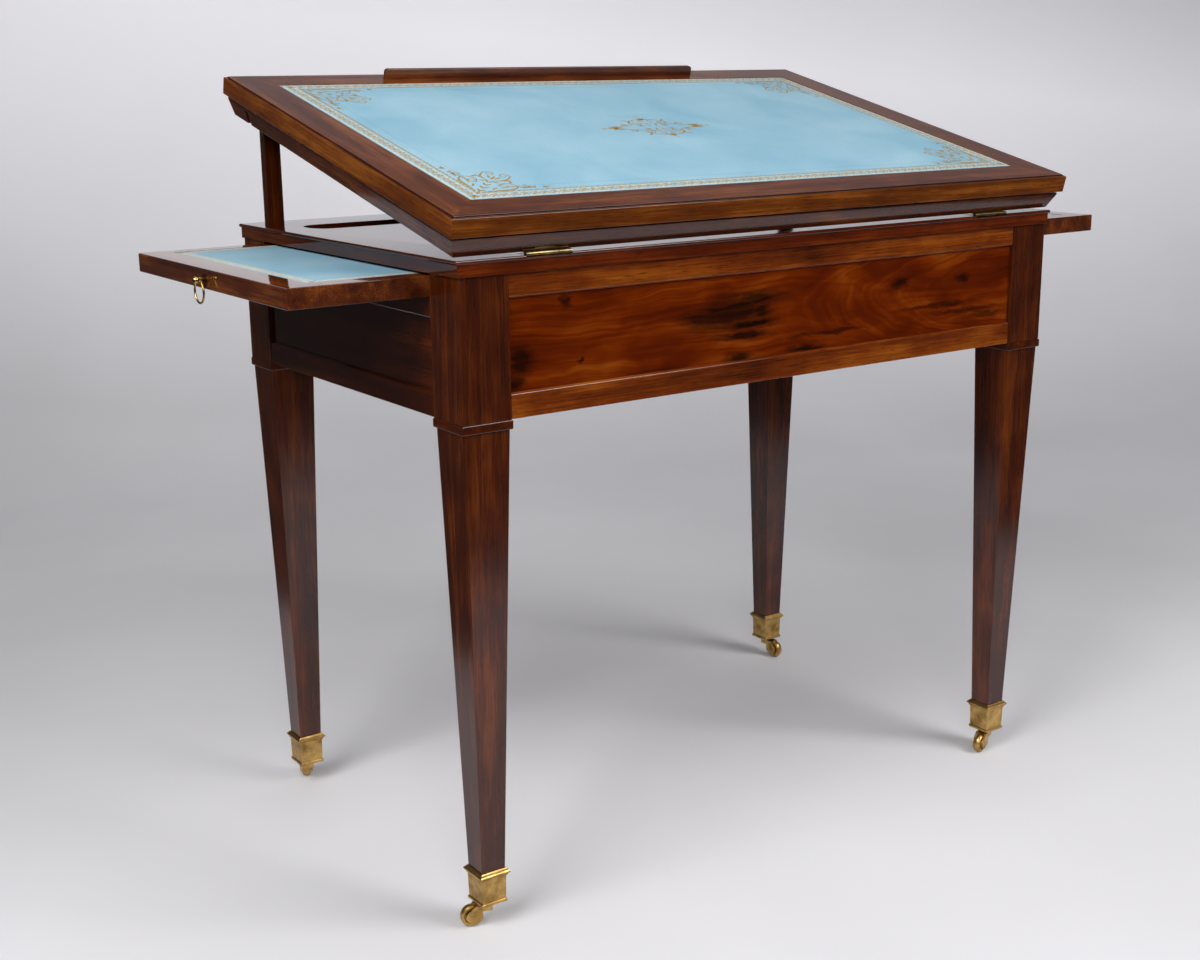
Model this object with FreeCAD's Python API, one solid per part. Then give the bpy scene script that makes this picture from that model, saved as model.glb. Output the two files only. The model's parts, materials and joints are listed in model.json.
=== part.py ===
import FreeCAD
import Part
import math
import os

# Architect's writing table: sloping leather leaf on rising posts, two side slides, legs on brass casters.
# Millimetres, +Z up. Origin on the floor under the middle of the carcass, +X to the right, +Y to the back.
# The sitter is at -Y. The table stands as in use: leaf raised, slides part drawn, book ledge up.

V = FreeCAD.Vector

# Carcass
CARCASS_W = 860.0  # over the outer faces of the leg stiles, left to right
CARCASS_D = 517.0  # over the outer faces of the leg stiles, front to back
TOP_Z = 735.0  # upper face of the carcass top above the floor
TOP_T = 17.0
TOP_OVERHANG = 4.2  # lip of the carcass top beyond the stiles
TOP_LIP_H = 4.2
TOP_LIP_R = 1.8
TOP_BAND_OUT = 2.2  # edge band under the lip, beyond the stiles
STILE_S = 58.0  # side of the square upper part of a leg
APRON_H = 148.0  # height of the apron under the carcass top
RAIL_T = 24.0
RAIL_SET = 0.8  # rails stand this far behind the stile faces
TOP_RAIL_H = 25.0
BOTTOM_RAIL_H = 27.0
SIDE_RAIL_H = 22.0  # rail under each slide
PANEL_T = 14.0
PANEL_SET = 3.5  # panels stand this far behind the rail faces
RAIL_BEVEL = 2.0  # bevel of the rails along the panels

# Pen tray sunk in the carcass top, behind the middle
TRAY_L = 786.0
TRAY_W = 59.0
TRAY_BACK = 76.7  # back edge of the tray from the back edge of the carcass top
TRAY_DEPTH = 10.0
TRAY_CORNER_R = 24.0
TRAY_BOTTOM_R = 8.0

# Legs
COLLAR_H = 10.0
COLLAR_OUT = 0.8  # beyond the stile faces
COLLAR_EDGE_R = 1.5
LEG_TOP_S = 54.5  # side of the leg just under its collar
LEG_FOOT_S = 29.3  # side of the leg where it enters the shoe

# Brass shoes and casters
SHOE_H = 40.5
SHOE_FLOOR_T = 4.5
SHOE_WALL = 0.9
SOCKET_CLEAR = 0.1
FLANGE_OUT = 4.3  # shoe flange beyond the leg
FLANGE_H = 9.0
FLANGE_SLOPE_H = 3.5  # sloped upper face of the flange
FLANGE_EDGE_H = 1.2
FILLET_OUT = 1.1  # small square fillet under the flange
FILLET_H = 1.4
BEAD_OUT = 1.3  # bottom bead beyond the shoe body
BEAD_H = 4.0
WHEEL_R = 12.8
WHEEL_W = 9.0
WHEEL_CROWN = 1.5  # rise of the rounded tread
WHEEL_RIM = 2.4
WHEEL_HUB_R = 5.0
WHEEL_DISH = 1.3  # depth of the dished sides
WHEEL_TO_SHOE = 3.0
CASTER_TRAIL = 18.5
AXLE_R = 2.0
AXLE_PROUD = 0.7
CHEEK_T = 2.4
CHEEK_BOSS_R = 7.0
CHEEK_HEEL = 11.5  # cheek from the axle towards the stem
NECK_RISE = 5.8  # underside of the fork's neck above the axle
FORK_CLEAR = 0.5
CROWN_R = 8.0
CROWN_T = 3.0
CROWN_CLEAR = 0.3
STEM_R = 3.2
STEM_L = 30.0
RUNNING_CLEAR = 0.07
CASTER_TURN = {"front_left": 160.0, "back_left": 75.0, "front_right": 200.0, "back_right": 275.0}

# Slides
SLIDE_T = 21.4
SLIDE_OUT_LEFT = 155.0  # drawn out past the stile faces, as it stands
SLIDE_OUT_RIGHT = 168.0
SLIDE_CLEAR = 0.6  # to the stile on each side
SLIDE_LIFT = 0.3  # over the rail that carries it
SLIDE_END_GAP = 5.0
SLIDE_EDGE_R = 2.0
SLIDE_UNDER_TOP = 2.7  # between slide and carcass top
SLIDE_FRONT_MARGIN = 34.0
SLIDE_SIDE_MARGIN = 24.0
SLIDE_INNER_MARGIN = 60.0
STOP_W = 40.0
RUNNER_LAP = 15.0  # runner under the edge of the slide
RUNNER_T = 18.0
RUNNER_GUIDE_CLEAR = 0.5
LEATHER_T = 1.4
LEATHER_DROP = 0.2  # leather below the surrounding wood

# Ring pulls on the slide ends
ROSETTE_R = 5.5
ROSETTE_T = 1.6
NECK_R = 2.9
NECK_L = 7.2
PULL_HOLE_AT = 7.4  # from the slide end
PULL_HOLE_R = 1.7
PULL_BALL_R = 3.8
PULL_BALL_SINK = 2.1  # ball set into the neck
RING_R = 12.2  # to the middle of the wire
RING_WIRE_R = 1.1

# Sloping leaf, laid out in its own frame: x along the hinge, y up the slope, z square to it
LEAF_TILT = 14.0  # degrees
LEAF_W = 889.0
LEAF_D = 548.0
LEAF_NOSE = 6.4  # leaf in front of the hinge axis
LEAF_GAP = 1.6  # between leaf and carcass top when shut
UNDER_T = 22.9
UNDER_INSET = 4.6
UNDER_BEVEL = 6.8
UNDER_FLAT = 2.4  # upright band above the bevel
UNDER_GROOVE_H = 2.2  # shadow groove under the border
UNDER_GROOVE_DEEP = 2.6
UNDER_RAIL_W = 60.0
BORDER_T = 21.7
BORDER_W = 49.5
BORDER_EDGE_R = 4.0
BORDER_STEP = 5.0  # set-in of the raised top
BORDER_STEP_H = 1.5
NOTCH_W = 10.0
NOTCH_H = 16.5
NOTCH_DEEP = 18.0
NOTCH_BACK = 49.0  # from the back edge of the leaf to the notch

# Book ledge that slides in the back border
LEDGE_L = 484.0
LEDGE_T = 7.0
LEDGE_UP = 11.8
LEDGE_HELD = 10.0  # left in its slot when up
LEDGE_BACK = 20.0  # from the back edge of the leaf
LEDGE_CLEAR = 0.3
LEDGE_END_R = 4.0

# Butt hinges along the front edge
HINGE_INSET = 3.1  # axis behind the front edge of the carcass top
HINGE_X = 325.0
HINGE_L = 55.0
HINGE_PLATE_W = 20.0
HINGE_PLATE_T = 1.2
KNUCKLE_R = 2.4
KNUCKLE_MID_L = 24.0
KNUCKLE_END_GAP = 0.3
KNUCKLE_CLEAR = 0.5
PIN_R = 1.2

# Rising posts in the back stiles
POST_W = 20.0
POST_D = 13.0
POST_INSET_X = 10.0  # from the outer face of the stile
POST_INSET_Y = 4.0  # from the front face of the stile
POST_HELD = 45.0  # left in the stile as it stands
POST_CLEAR = 0.4
POST_HEAD_GAP = 0.2
POST_FOOT_GAP = 3.0
PLATE_L = 25.0
PLATE_T = 1.2
PLATE_MARGIN = 2.5

# Worked out from the sizes above
HALF_W = CARCASS_W / 2
HALF_D = CARCASS_D / 2
TOP_UNDER = TOP_Z - TOP_T
APRON_Z = TOP_UNDER - APRON_H
COLLAR_Z = APRON_Z - COLLAR_H
SHOE_Z = 2 * WHEEL_R + WHEEL_TO_SHOE
SHOE_FLOOR_Z = SHOE_Z + SHOE_FLOOR_T
SHOE_TOP_Z = SHOE_Z + SHOE_H
INNER_X = HALF_W - STILE_S
INNER_Y = HALF_D - STILE_S
SLIDE_HALF = INNER_Y - SLIDE_CLEAR
SLIDE_Z = TOP_UNDER - SLIDE_T - SLIDE_UNDER_TOP
SLIDE_RAIL_Z = SLIDE_Z - SLIDE_LIFT
SLIDE_L = HALF_W - STOP_W / 2 - SLIDE_END_GAP
LEG_X = HALF_W - STILE_S / 2
LEG_Y = HALF_D - STILE_S / 2
HINGE_Y = -HALF_D - TOP_OVERHANG + HINGE_INSET
HINGE_Z = TOP_Z + LEAF_GAP / 2
UNDER_Z = LEAF_GAP / 2
BORDER_Z = UNDER_Z + UNDER_T
LEAF_TOP = BORDER_Z + BORDER_T
LEAF_FRONT = -LEAF_NOSE
LEAF_BACK = LEAF_D - LEAF_NOSE
LEDGE_H = LEDGE_UP + LEDGE_HELD
POST_X = HALF_W - POST_INSET_X - POST_W / 2
POST_Y = INNER_Y + POST_INSET_Y + POST_D / 2
TILT = math.radians(LEAF_TILT)
CHEEK_TANGENT = math.radians(30.0)  # where the upper edge of a cheek meets its round end
POST_RATIO = (POST_Y - HINGE_Y) / math.cos(TILT) ** 2  # post travel per radian of leaf, where the two touch
POST_TRAVEL = POST_RATIO * TILT
POST_FOOT_Z = TOP_Z - POST_HELD
HEAD_R = POST_D / 2
HEAD_Z = HINGE_Z + (UNDER_Z - HEAD_R - POST_HEAD_GAP + (POST_Y - HINGE_Y) * math.sin(TILT)) / math.cos(TILT)

SIDES = {"left": -1, "right": 1}
DEPTHS = {"front": -1, "back": 1}
CORNERS = {f"{depth}_{side}": (sx, sy) for depth, sy in DEPTHS.items() for side, sx in SIDES.items()}


def box(x0, x1, y0, y1, z0, z1):
    """Box between two corners, whichever way round they are given."""
    low = V(min(x0, x1), min(y0, y1), min(z0, z1))
    return Part.makeBox(abs(x1 - x0), abs(y1 - y0), abs(z1 - z0), low)


def square_loft(cx, cy, sections):
    """Solid through squares (half side, height), one above the other."""
    wires = []
    for half, z in sections:
        wires.append(plate(cx - half, cx + half, cy - half, cy + half, z))
    return Part.makeLoft(wires, True, True)


def plate(x0, x1, y0, y1, z):
    """Closed rectangle at height z."""
    return Part.makePolygon([V(x0, y0, z), V(x1, y0, z), V(x1, y1, z), V(x0, y1, z), V(x0, y0, z)])


def prism(points, z0, z1):
    """Upright prism on a polygon of (x, y) points."""
    ring = [V(x, y, z0) for x, y in points]
    return Part.Face(Part.makePolygon(ring + ring[:1])).extrude(V(0, 0, z1 - z0))


def edges_at(shape, test):
    """Edges whose two ends both pass a test on their position."""
    return [e for e in shape.Edges if len(e.Vertexes) == 2 and all(test(v.Point) for v in e.Vertexes)]


def near(a, b):
    return abs(a - b) < 1e-6


def single(shape):
    """The one solid that a boolean leaves."""
    solids = shape.removeSplitter().Solids
    if len(solids) != 1:
        raise ValueError(f"expected one solid, got {len(solids)}")
    return solids[0]


def group(shapes):
    return Part.makeCompound(shapes)


def on_leaf(shape):
    """Move a shape from the leaf's own frame to its raised place on the table."""
    placed = shape.copy()
    placed.rotate(V(0, 0, 0), V(1, 0, 0), LEAF_TILT)
    placed.translate(V(0, HINGE_Y, HINGE_Z))
    return placed


# Legs, collars, shoes and casters


def leg_side(z):
    """Side of the tapered leg at a height."""
    rise = (z - SHOE_TOP_Z) / (COLLAR_Z - SHOE_TOP_Z)
    return LEG_FOOT_S + (LEG_TOP_S - LEG_FOOT_S) * rise


def leg(sx, sy):
    """Stile, neck and tapered leg in one piece, bored for the caster stem; back legs hold a rising post."""
    cx = sx * LEG_X
    cy = sy * LEG_Y
    taper = square_loft(cx, cy, [(leg_side(SHOE_FLOOR_Z) / 2, SHOE_FLOOR_Z), (LEG_TOP_S / 2, COLLAR_Z)])
    neck = square_loft(cx, cy, [(LEG_TOP_S / 2, COLLAR_Z), (LEG_TOP_S / 2, APRON_Z)])
    stile = square_loft(cx, cy, [(STILE_S / 2, APRON_Z), (STILE_S / 2, TOP_UNDER)])
    stem_bore = Part.makeCylinder(STEM_R + RUNNING_CLEAR, STEM_L, V(cx, cy, SHOE_Z), V(0, 0, 1))
    shape = taper.fuse(neck).fuse(stile).cut(stem_bore)
    if sy > 0:
        shape = shape.cut(post_mortise(sx))
    return single(shape)


def leg_collars():
    """Square moulding round each leg under the apron."""
    rings = []
    for sx, sy in CORNERS.values():
        half = STILE_S / 2 + COLLAR_OUT
        block = square_loft(sx * LEG_X, sy * LEG_Y, [(half, COLLAR_Z), (half, APRON_Z)])
        rims = edges_at(block, lambda p: near(p.z, COLLAR_Z)) + edges_at(block, lambda p: near(p.z, APRON_Z))
        block = block.makeFillet(COLLAR_EDGE_R, rims)
        core = square_loft(sx * LEG_X, sy * LEG_Y, [(LEG_TOP_S / 2, COLLAR_Z), (LEG_TOP_S / 2, APRON_Z)])
        rings.append(single(block.cut(core)))
    return group(rings)


def leg_shoes():
    """Brass socket on the foot of each leg, with a flange above and a bead below."""
    shoes = []
    for sx, sy in CORNERS.values():
        cx = sx * LEG_X
        cy = sy * LEG_Y
        skin = SOCKET_CLEAR + SHOE_WALL
        top_half = leg_side(SHOE_TOP_Z) / 2
        low_half = leg_side(SHOE_Z) / 2 + skin
        flange_z = SHOE_TOP_Z - FLANGE_H
        edge_z = SHOE_TOP_Z - FLANGE_SLOPE_H
        edge_half = top_half + FLANGE_OUT
        body_half = leg_side(flange_z) / 2 + skin
        flange = square_loft(cx, cy, [
            (body_half, flange_z),
            (body_half + FILLET_OUT, flange_z + FILLET_H / 4),
            (body_half + FILLET_OUT, flange_z + FILLET_H),
            (edge_half, edge_z - FLANGE_EDGE_H),
            (edge_half, edge_z),
            (top_half + skin, SHOE_TOP_Z),
        ])
        body = square_loft(cx, cy, [(low_half, SHOE_Z), (body_half, flange_z)])
        bead = square_loft(cx, cy, [(low_half + BEAD_OUT, SHOE_Z), (low_half + BEAD_OUT, SHOE_Z + BEAD_H)])
        rims = edges_at(bead, lambda p: near(p.z, SHOE_Z))
        rims += edges_at(bead, lambda p: near(p.z, SHOE_Z + BEAD_H))
        bead = bead.makeFillet(min(BEAD_OUT, BEAD_H / 2) * 0.9, rims)
        socket = square_loft(cx, cy, [
            (leg_side(SHOE_FLOOR_Z) / 2 + SOCKET_CLEAR, SHOE_FLOOR_Z),
            (top_half + SOCKET_CLEAR, SHOE_TOP_Z),
        ])
        stem_hole = Part.makeCylinder(STEM_R + RUNNING_CLEAR, SHOE_FLOOR_T, V(cx, cy, SHOE_Z), V(0, 0, 1))
        shoes.append(single(body.fuse(flange).fuse(bead).cut(socket).cut(stem_hole)))
    return group(shoes)


def at_caster(shape, corner):
    """Turn a caster piece to the way it stands and put it under its leg."""
    sx, sy = CORNERS[corner]
    placed = shape.copy()
    placed.rotate(V(0, 0, 0), V(0, 0, 1), CASTER_TURN[corner])
    placed.translate(V(sx * LEG_X, sy * LEG_Y, 0))
    return placed


def caster_fork():
    """Swivel stem, crown and two cheeks; the wheel trails along +X."""
    crown_top = SHOE_Z - CROWN_CLEAR
    crown_z = crown_top - CROWN_T
    gap_half = WHEEL_W / 2 + FORK_CLEAR
    outer_half = gap_half + CHEEK_T
    neck_z = WHEEL_R + NECK_RISE
    neck_front = CASTER_TRAIL - WHEEL_R - FORK_CLEAR
    neck_back = -CROWN_R / 2
    stem_top = SHOE_Z + STEM_L - CROWN_CLEAR
    stem = Part.makeCylinder(STEM_R, stem_top - crown_z, V(0, 0, crown_z), V(0, 0, 1))
    crown = Part.makeCylinder(CROWN_R, CROWN_T, V(0, 0, crown_z), V(0, 0, 1))
    shape = stem.fuse(crown).fuse(box(neck_back, neck_front, -outer_half, outer_half, neck_z, crown_z))
    heel = CASTER_TRAIL - CHEEK_HEEL
    outline = [
        V(neck_back, 0, crown_z),
        V(CASTER_TRAIL - CHEEK_BOSS_R / 2, 0, crown_z),
        V(CASTER_TRAIL, 0, WHEEL_R) + V(math.cos(CHEEK_TANGENT), 0, math.sin(CHEEK_TANGENT)) * CHEEK_BOSS_R,
        V(CASTER_TRAIL, 0, WHEEL_R - CHEEK_BOSS_R),
        V(heel, 0, WHEEL_R - CHEEK_BOSS_R / 2),
        V(heel, 0, neck_z),
        V(neck_back, 0, neck_z),
    ]
    for y in (-outer_half, gap_half):
        web = Part.Face(Part.makePolygon(outline + outline[:1])).extrude(V(0, CHEEK_T, 0))
        web.translate(V(0, y, 0))
        boss = Part.makeCylinder(CHEEK_BOSS_R, CHEEK_T, V(CASTER_TRAIL, y, WHEEL_R), V(0, 1, 0))
        shape = shape.fuse(web).fuse(boss)
    return single(shape.cut(caster_axle()))


def caster_axle():
    half = WHEEL_W / 2 + FORK_CLEAR + CHEEK_T + AXLE_PROUD
    return Part.makeCylinder(AXLE_R, 2 * half, V(CASTER_TRAIL, -half, WHEEL_R), V(0, 1, 0))


def caster_wheel():
    """Solid brass wheel with a rounded tread and dished sides, turned about its axle."""
    half = WHEEL_W / 2
    bore = AXLE_R + RUNNING_CLEAR
    rim_r = WHEEL_R - WHEEL_CROWN
    dish_r = rim_r - WHEEL_RIM
    right = [(half, rim_r), (half, dish_r), (half - WHEEL_DISH, dish_r - WHEEL_DISH)]
    right += [(half - WHEEL_DISH, WHEEL_HUB_R), (half, WHEEL_HUB_R - WHEEL_DISH / 2), (half, bore)]
    left = [(-a, r) for a, r in reversed(right)]
    rim = [V(0, a, r) for a, r in right + left]
    edges = [Part.LineSegment(a, b).toShape() for a, b in zip(rim, rim[1:])]
    edges.append(Part.Arc(rim[-1], V(0, 0, WHEEL_R), rim[0]).toShape())
    wheel = Part.Face(Part.Wire(edges)).revolve(V(0, 0, 0), V(0, 1, 0), 360)
    wheel.translate(V(CASTER_TRAIL, 0, WHEEL_R))
    return single(wheel)


# Carcass


def post_mortise(sx):
    """Square way for a rising post, from the carcass top down into the back stile."""
    foot = POST_FOOT_Z - POST_TRAVEL - POST_FOOT_GAP
    half_w = POST_W / 2 + POST_CLEAR
    half_d = POST_D / 2 + POST_CLEAR
    x = sx * POST_X
    return box(x - half_w, x + half_w, POST_Y - half_d, POST_Y + half_d, foot, TOP_Z)


def hinge_seat(x):
    """Housing in the carcass top for one fixed hinge plate and its knuckles."""
    half = HINGE_L / 2
    plate_bed = box(x - half, x + half, HINGE_Y, HINGE_Y + HINGE_PLATE_W, TOP_Z - HINGE_PLATE_T, TOP_Z)
    back = HINGE_Y + KNUCKLE_R + KNUCKLE_CLEAR
    front = -HALF_D - TOP_OVERHANG
    low = HINGE_Z - KNUCKLE_R - KNUCKLE_CLEAR
    half += KNUCKLE_CLEAR
    return plate_bed.fuse(box(x - half, x + half, front, back, low, TOP_Z))


def carcass_top():
    """Board over the whole carcass with a rounded lip, a pen tray, post holes and hinge seats."""
    half_x = HALF_W + TOP_OVERHANG
    half_y = HALF_D + TOP_OVERHANG
    lip_z = TOP_Z - TOP_LIP_H
    lip = box(-half_x, half_x, -half_y, half_y, lip_z, TOP_Z)
    rims = edges_at(lip, lambda p: near(p.z, TOP_Z)) + edges_at(lip, lambda p: near(p.z, lip_z))
    lip = lip.makeFillet(TOP_LIP_R, rims)
    band_x = HALF_W + TOP_BAND_OUT
    band_y = HALF_D + TOP_BAND_OUT
    board = lip.fuse(box(-band_x, band_x, -band_y, band_y, TOP_UNDER, TOP_Z - TOP_LIP_R))
    tray_y = half_y - TRAY_BACK
    tray_z = TOP_Z - TRAY_DEPTH
    tray = box(-TRAY_L / 2, TRAY_L / 2, tray_y - TRAY_W, tray_y, tray_z, TOP_Z)
    upright = [e for e in tray.Edges if near(e.Length, TRAY_DEPTH)]
    tray = tray.makeFillet(TRAY_CORNER_R, upright)
    tray = tray.makeFillet(TRAY_BOTTOM_R, edges_at(tray, lambda p: near(p.z, tray_z)))
    board = board.cut(tray)
    for sx in SIDES.values():
        board = board.cut(post_mortise(sx)).cut(hinge_seat(sx * HINGE_X))
    return single(board)


def long_rail(sy, z0, z1, bevel_top):
    """Front or back rail between the stiles, bevelled along the panel."""
    face = sy * (HALF_D - RAIL_SET)
    rail = box(-INNER_X, INNER_X, face, face - sy * RAIL_T, z0, z1)
    z = z1 if bevel_top else z0
    return rail.makeChamfer(RAIL_BEVEL, edges_at(rail, lambda p: near(p.z, z) and near(p.y, face)))


def long_panel(sy):
    face = sy * (HALF_D - RAIL_SET - PANEL_SET)
    return box(-INNER_X, INNER_X, face, face - sy * PANEL_T, APRON_Z + BOTTOM_RAIL_H, TOP_UNDER - TOP_RAIL_H)


def side_rail(sx, z0, z1, bevel_top):
    """Left or right rail between the stiles, bevelled along the panel."""
    face = sx * (HALF_W - RAIL_SET)
    rail = box(face, face - sx * RAIL_T, -INNER_Y, INNER_Y, z0, z1)
    z = z1 if bevel_top else z0
    return rail.makeChamfer(RAIL_BEVEL, edges_at(rail, lambda p: near(p.z, z) and near(p.x, face)))


def side_panel(sx):
    face = sx * (HALF_W - RAIL_SET - PANEL_SET)
    back = face - sx * PANEL_T
    return box(face, back, -INNER_Y, INNER_Y, APRON_Z + BOTTOM_RAIL_H, SLIDE_RAIL_Z - SIDE_RAIL_H)


def slide_runner(sy):
    """Rebated runner inside the front or back rails: its foot carries the slide and its back guides it."""
    back = sy * (HALF_D - RAIL_SET - RAIL_T)
    guide = sy * (SLIDE_HALF + RUNNER_GUIDE_CLEAR)
    foot = sy * (SLIDE_HALF - RUNNER_LAP)
    shape = box(-INNER_X, INNER_X, back, foot, SLIDE_RAIL_Z - RUNNER_T, SLIDE_RAIL_Z)
    return single(shape.fuse(box(-INNER_X, INNER_X, back, guide, SLIDE_RAIL_Z, TOP_UNDER)))


def slide_stop():
    """Middle rail under the top, between the two runners, that stops both slides."""
    half = STOP_W / 2
    foot = SLIDE_HALF - RUNNER_LAP
    return box(-half, half, -foot, foot, SLIDE_RAIL_Z - RUNNER_T, TOP_UNDER)


# Slides


def slide_span(sx):
    """Outer and inner end of a slide as it stands."""
    drawn = SLIDE_OUT_LEFT if sx < 0 else SLIDE_OUT_RIGHT
    outer = sx * (HALF_W + drawn)
    return outer, outer - sx * SLIDE_L


def slide_leather_bed(sx):
    """Corners of the sunk leather field on a slide."""
    outer, inner = slide_span(sx)
    half = SLIDE_HALF - SLIDE_SIDE_MARGIN
    return outer - sx * SLIDE_FRONT_MARGIN, inner + sx * SLIDE_INNER_MARGIN, -half, half


def slide_board(sx):
    outer, inner = slide_span(sx)
    top = SLIDE_Z + SLIDE_T
    board = box(outer, inner, -SLIDE_HALF, SLIDE_HALF, SLIDE_Z, top)
    board = board.makeFillet(SLIDE_EDGE_R, edges_at(board, lambda p: near(p.x, outer)))
    return single(board.cut(box(*slide_leather_bed(sx), top - LEATHER_T - LEATHER_DROP, top)))


def slide_leather(sx):
    top = SLIDE_Z + SLIDE_T - LEATHER_DROP
    return box(*slide_leather_bed(sx), top - LEATHER_T, top)


def pull_centre(sx):
    """Middle of the hole that the ring hangs in."""
    outer, _ = slide_span(sx)
    return V(outer + sx * PULL_HOLE_AT, 0, SLIDE_Z + SLIDE_T / 2)


def pull_knob(sx):
    """Rosette, drilled neck and ball on the end of a slide."""
    outer, _ = slide_span(sx)
    hole = pull_centre(sx)
    way = V(sx, 0, 0)
    base = V(outer, 0, hole.z)
    rosette = Part.makeCylinder(ROSETTE_R, ROSETTE_T, base, way)
    neck = Part.makeCylinder(NECK_R, ROSETTE_T + NECK_L, base, way)
    ball_at = ROSETTE_T + NECK_L + PULL_BALL_R - PULL_BALL_SINK
    ball = Part.makeSphere(PULL_BALL_R, base + way * ball_at)
    drill = Part.makeCylinder(PULL_HOLE_R, 2 * PULL_BALL_R, hole - V(0, PULL_BALL_R, 0), V(0, 1, 0))
    return single(rosette.fuse(neck).fuse(ball).cut(drill))


def pull_ring(sx):
    return Part.makeTorus(RING_R, RING_WIRE_R, pull_centre(sx) - V(0, 0, RING_R), V(1, 0, 0))


# Sloping leaf


def mitred(frame, x, y0, y1, width, z0, z1):
    """Cut a rectangular frame at its mitres into front, back, left and right members."""
    past = 10.0
    fl, fr, br, bl = (-1, -1), (1, -1), (1, 1), (-1, 1)
    outer = {}
    inner = {}
    for sx, sy in (fl, fr, br, bl):
        edge = y0 if sy < 0 else y1
        outer[sx, sy] = (sx * (x + past), edge + sy * past)
        inner[sx, sy] = (sx * (x - width), edge - sy * width)
    members = {}
    for name, a, b in (("front", fl, fr), ("back", bl, br), ("left", fl, bl), ("right", fr, br)):
        wedge = prism([outer[a], outer[b], inner[b], inner[a]], z0, z1)
        members[name] = single(frame.common(wedge))
    return members


def ledge_slot(z0, z1):
    """Slot for the book ledge through the back border and into the rail below."""
    half = LEDGE_L / 2 + LEDGE_CLEAR
    back = LEAF_BACK - LEDGE_BACK
    return box(-half, half, back - LEDGE_T - LEDGE_CLEAR, back + LEDGE_CLEAR, z0, z1)


def underframe():
    """Four mitred rails with a shadow groove and a bevelled edge, notched at the back of both sides."""
    half = LEAF_W / 2 - UNDER_INSET
    front = LEAF_FRONT + UNDER_INSET
    back = LEAF_BACK - UNDER_INSET
    groove_z = BORDER_Z - UNDER_GROOVE_H
    levels = [(UNDER_BEVEL, UNDER_Z), (0.0, groove_z - UNDER_FLAT), (0.0, groove_z)]
    wires = [plate(-half + s, half - s, front + s, back - s, z) for s, z in levels]
    frame = Part.makeLoft(wires, True, True)
    s = UNDER_GROOVE_DEEP
    frame = frame.fuse(box(-half + s, half - s, front + s, back - s, groove_z, BORDER_Z))
    w = UNDER_RAIL_W
    frame = frame.cut(box(-half + w, half - w, front + w, back - w, UNDER_Z, BORDER_Z))
    notch_back = LEAF_BACK - NOTCH_BACK
    for sx in SIDES.values():
        deep = sx * (half - NOTCH_DEEP)
        notch = box(sx * half, deep, notch_back - NOTCH_W, notch_back, UNDER_Z, UNDER_Z + NOTCH_H)
        frame = frame.cut(notch)
        x = sx * HINGE_X
        side = HINGE_L / 2
        bed = box(x - side, x + side, LEAF_FRONT, HINGE_PLATE_W, UNDER_Z, UNDER_Z + HINGE_PLATE_T)
        reach = KNUCKLE_R + KNUCKLE_CLEAR
        side += KNUCKLE_CLEAR
        frame = frame.cut(bed).cut(box(x - side, x + side, LEAF_FRONT, reach, UNDER_Z, reach))
    frame = frame.cut(ledge_slot(LEAF_TOP - LEDGE_H - LEDGE_CLEAR, BORDER_Z))
    return mitred(frame, half, front, back, w, UNDER_Z, BORDER_Z)


def border():
    """Four mitred members with a rounded edge under a small raised step, round the core and the leather."""
    half = LEAF_W / 2
    step_z = LEAF_TOP - BORDER_STEP_H
    block = box(-half, half, LEAF_FRONT, LEAF_BACK, BORDER_Z, step_z)
    rims = edges_at(block, lambda p: near(p.z, BORDER_Z)) + edges_at(block, lambda p: near(p.z, step_z))
    block = block.makeFillet(BORDER_EDGE_R, rims)
    s = BORDER_STEP
    block = block.fuse(box(-half + s, half - s, LEAF_FRONT + s, LEAF_BACK - s, step_z, LEAF_TOP))
    w = BORDER_W
    block = block.cut(box(-half + w, half - w, LEAF_FRONT + w, LEAF_BACK - w, BORDER_Z, LEAF_TOP))
    block = block.cut(ledge_slot(BORDER_Z, LEAF_TOP))
    return mitred(block, half, LEAF_FRONT, LEAF_BACK, w, BORDER_Z, LEAF_TOP)


def leaf_field(z0, z1):
    """Board filling the border between two heights."""
    half = LEAF_W / 2 - BORDER_W
    return box(-half, half, LEAF_FRONT + BORDER_W, LEAF_BACK - BORDER_W, z0, z1)


def book_ledge():
    """Strip with rounded upper corners that slides in its slot."""
    half = LEDGE_L / 2
    back = LEAF_BACK - LEDGE_BACK
    top = LEAF_TOP + LEDGE_UP
    strip = box(-half, half, back - LEDGE_T, back, top - LEDGE_H, top)
    corners = edges_at(strip, lambda p: near(p.z, top) and near(p.x, -half))
    corners += edges_at(strip, lambda p: near(p.z, top) and near(p.x, half))
    return strip.makeFillet(LEDGE_END_R, corners)


def knuckle(x0, x1, bore):
    """Hinge knuckle along the axis between two places, in the leaf's frame."""
    length = x1 - x0
    barrel = Part.makeCylinder(KNUCKLE_R, length, V(x0, 0, 0), V(1, 0, 0))
    return barrel, Part.makeCylinder(bore, length, V(x0, 0, 0), V(1, 0, 0))


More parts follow.
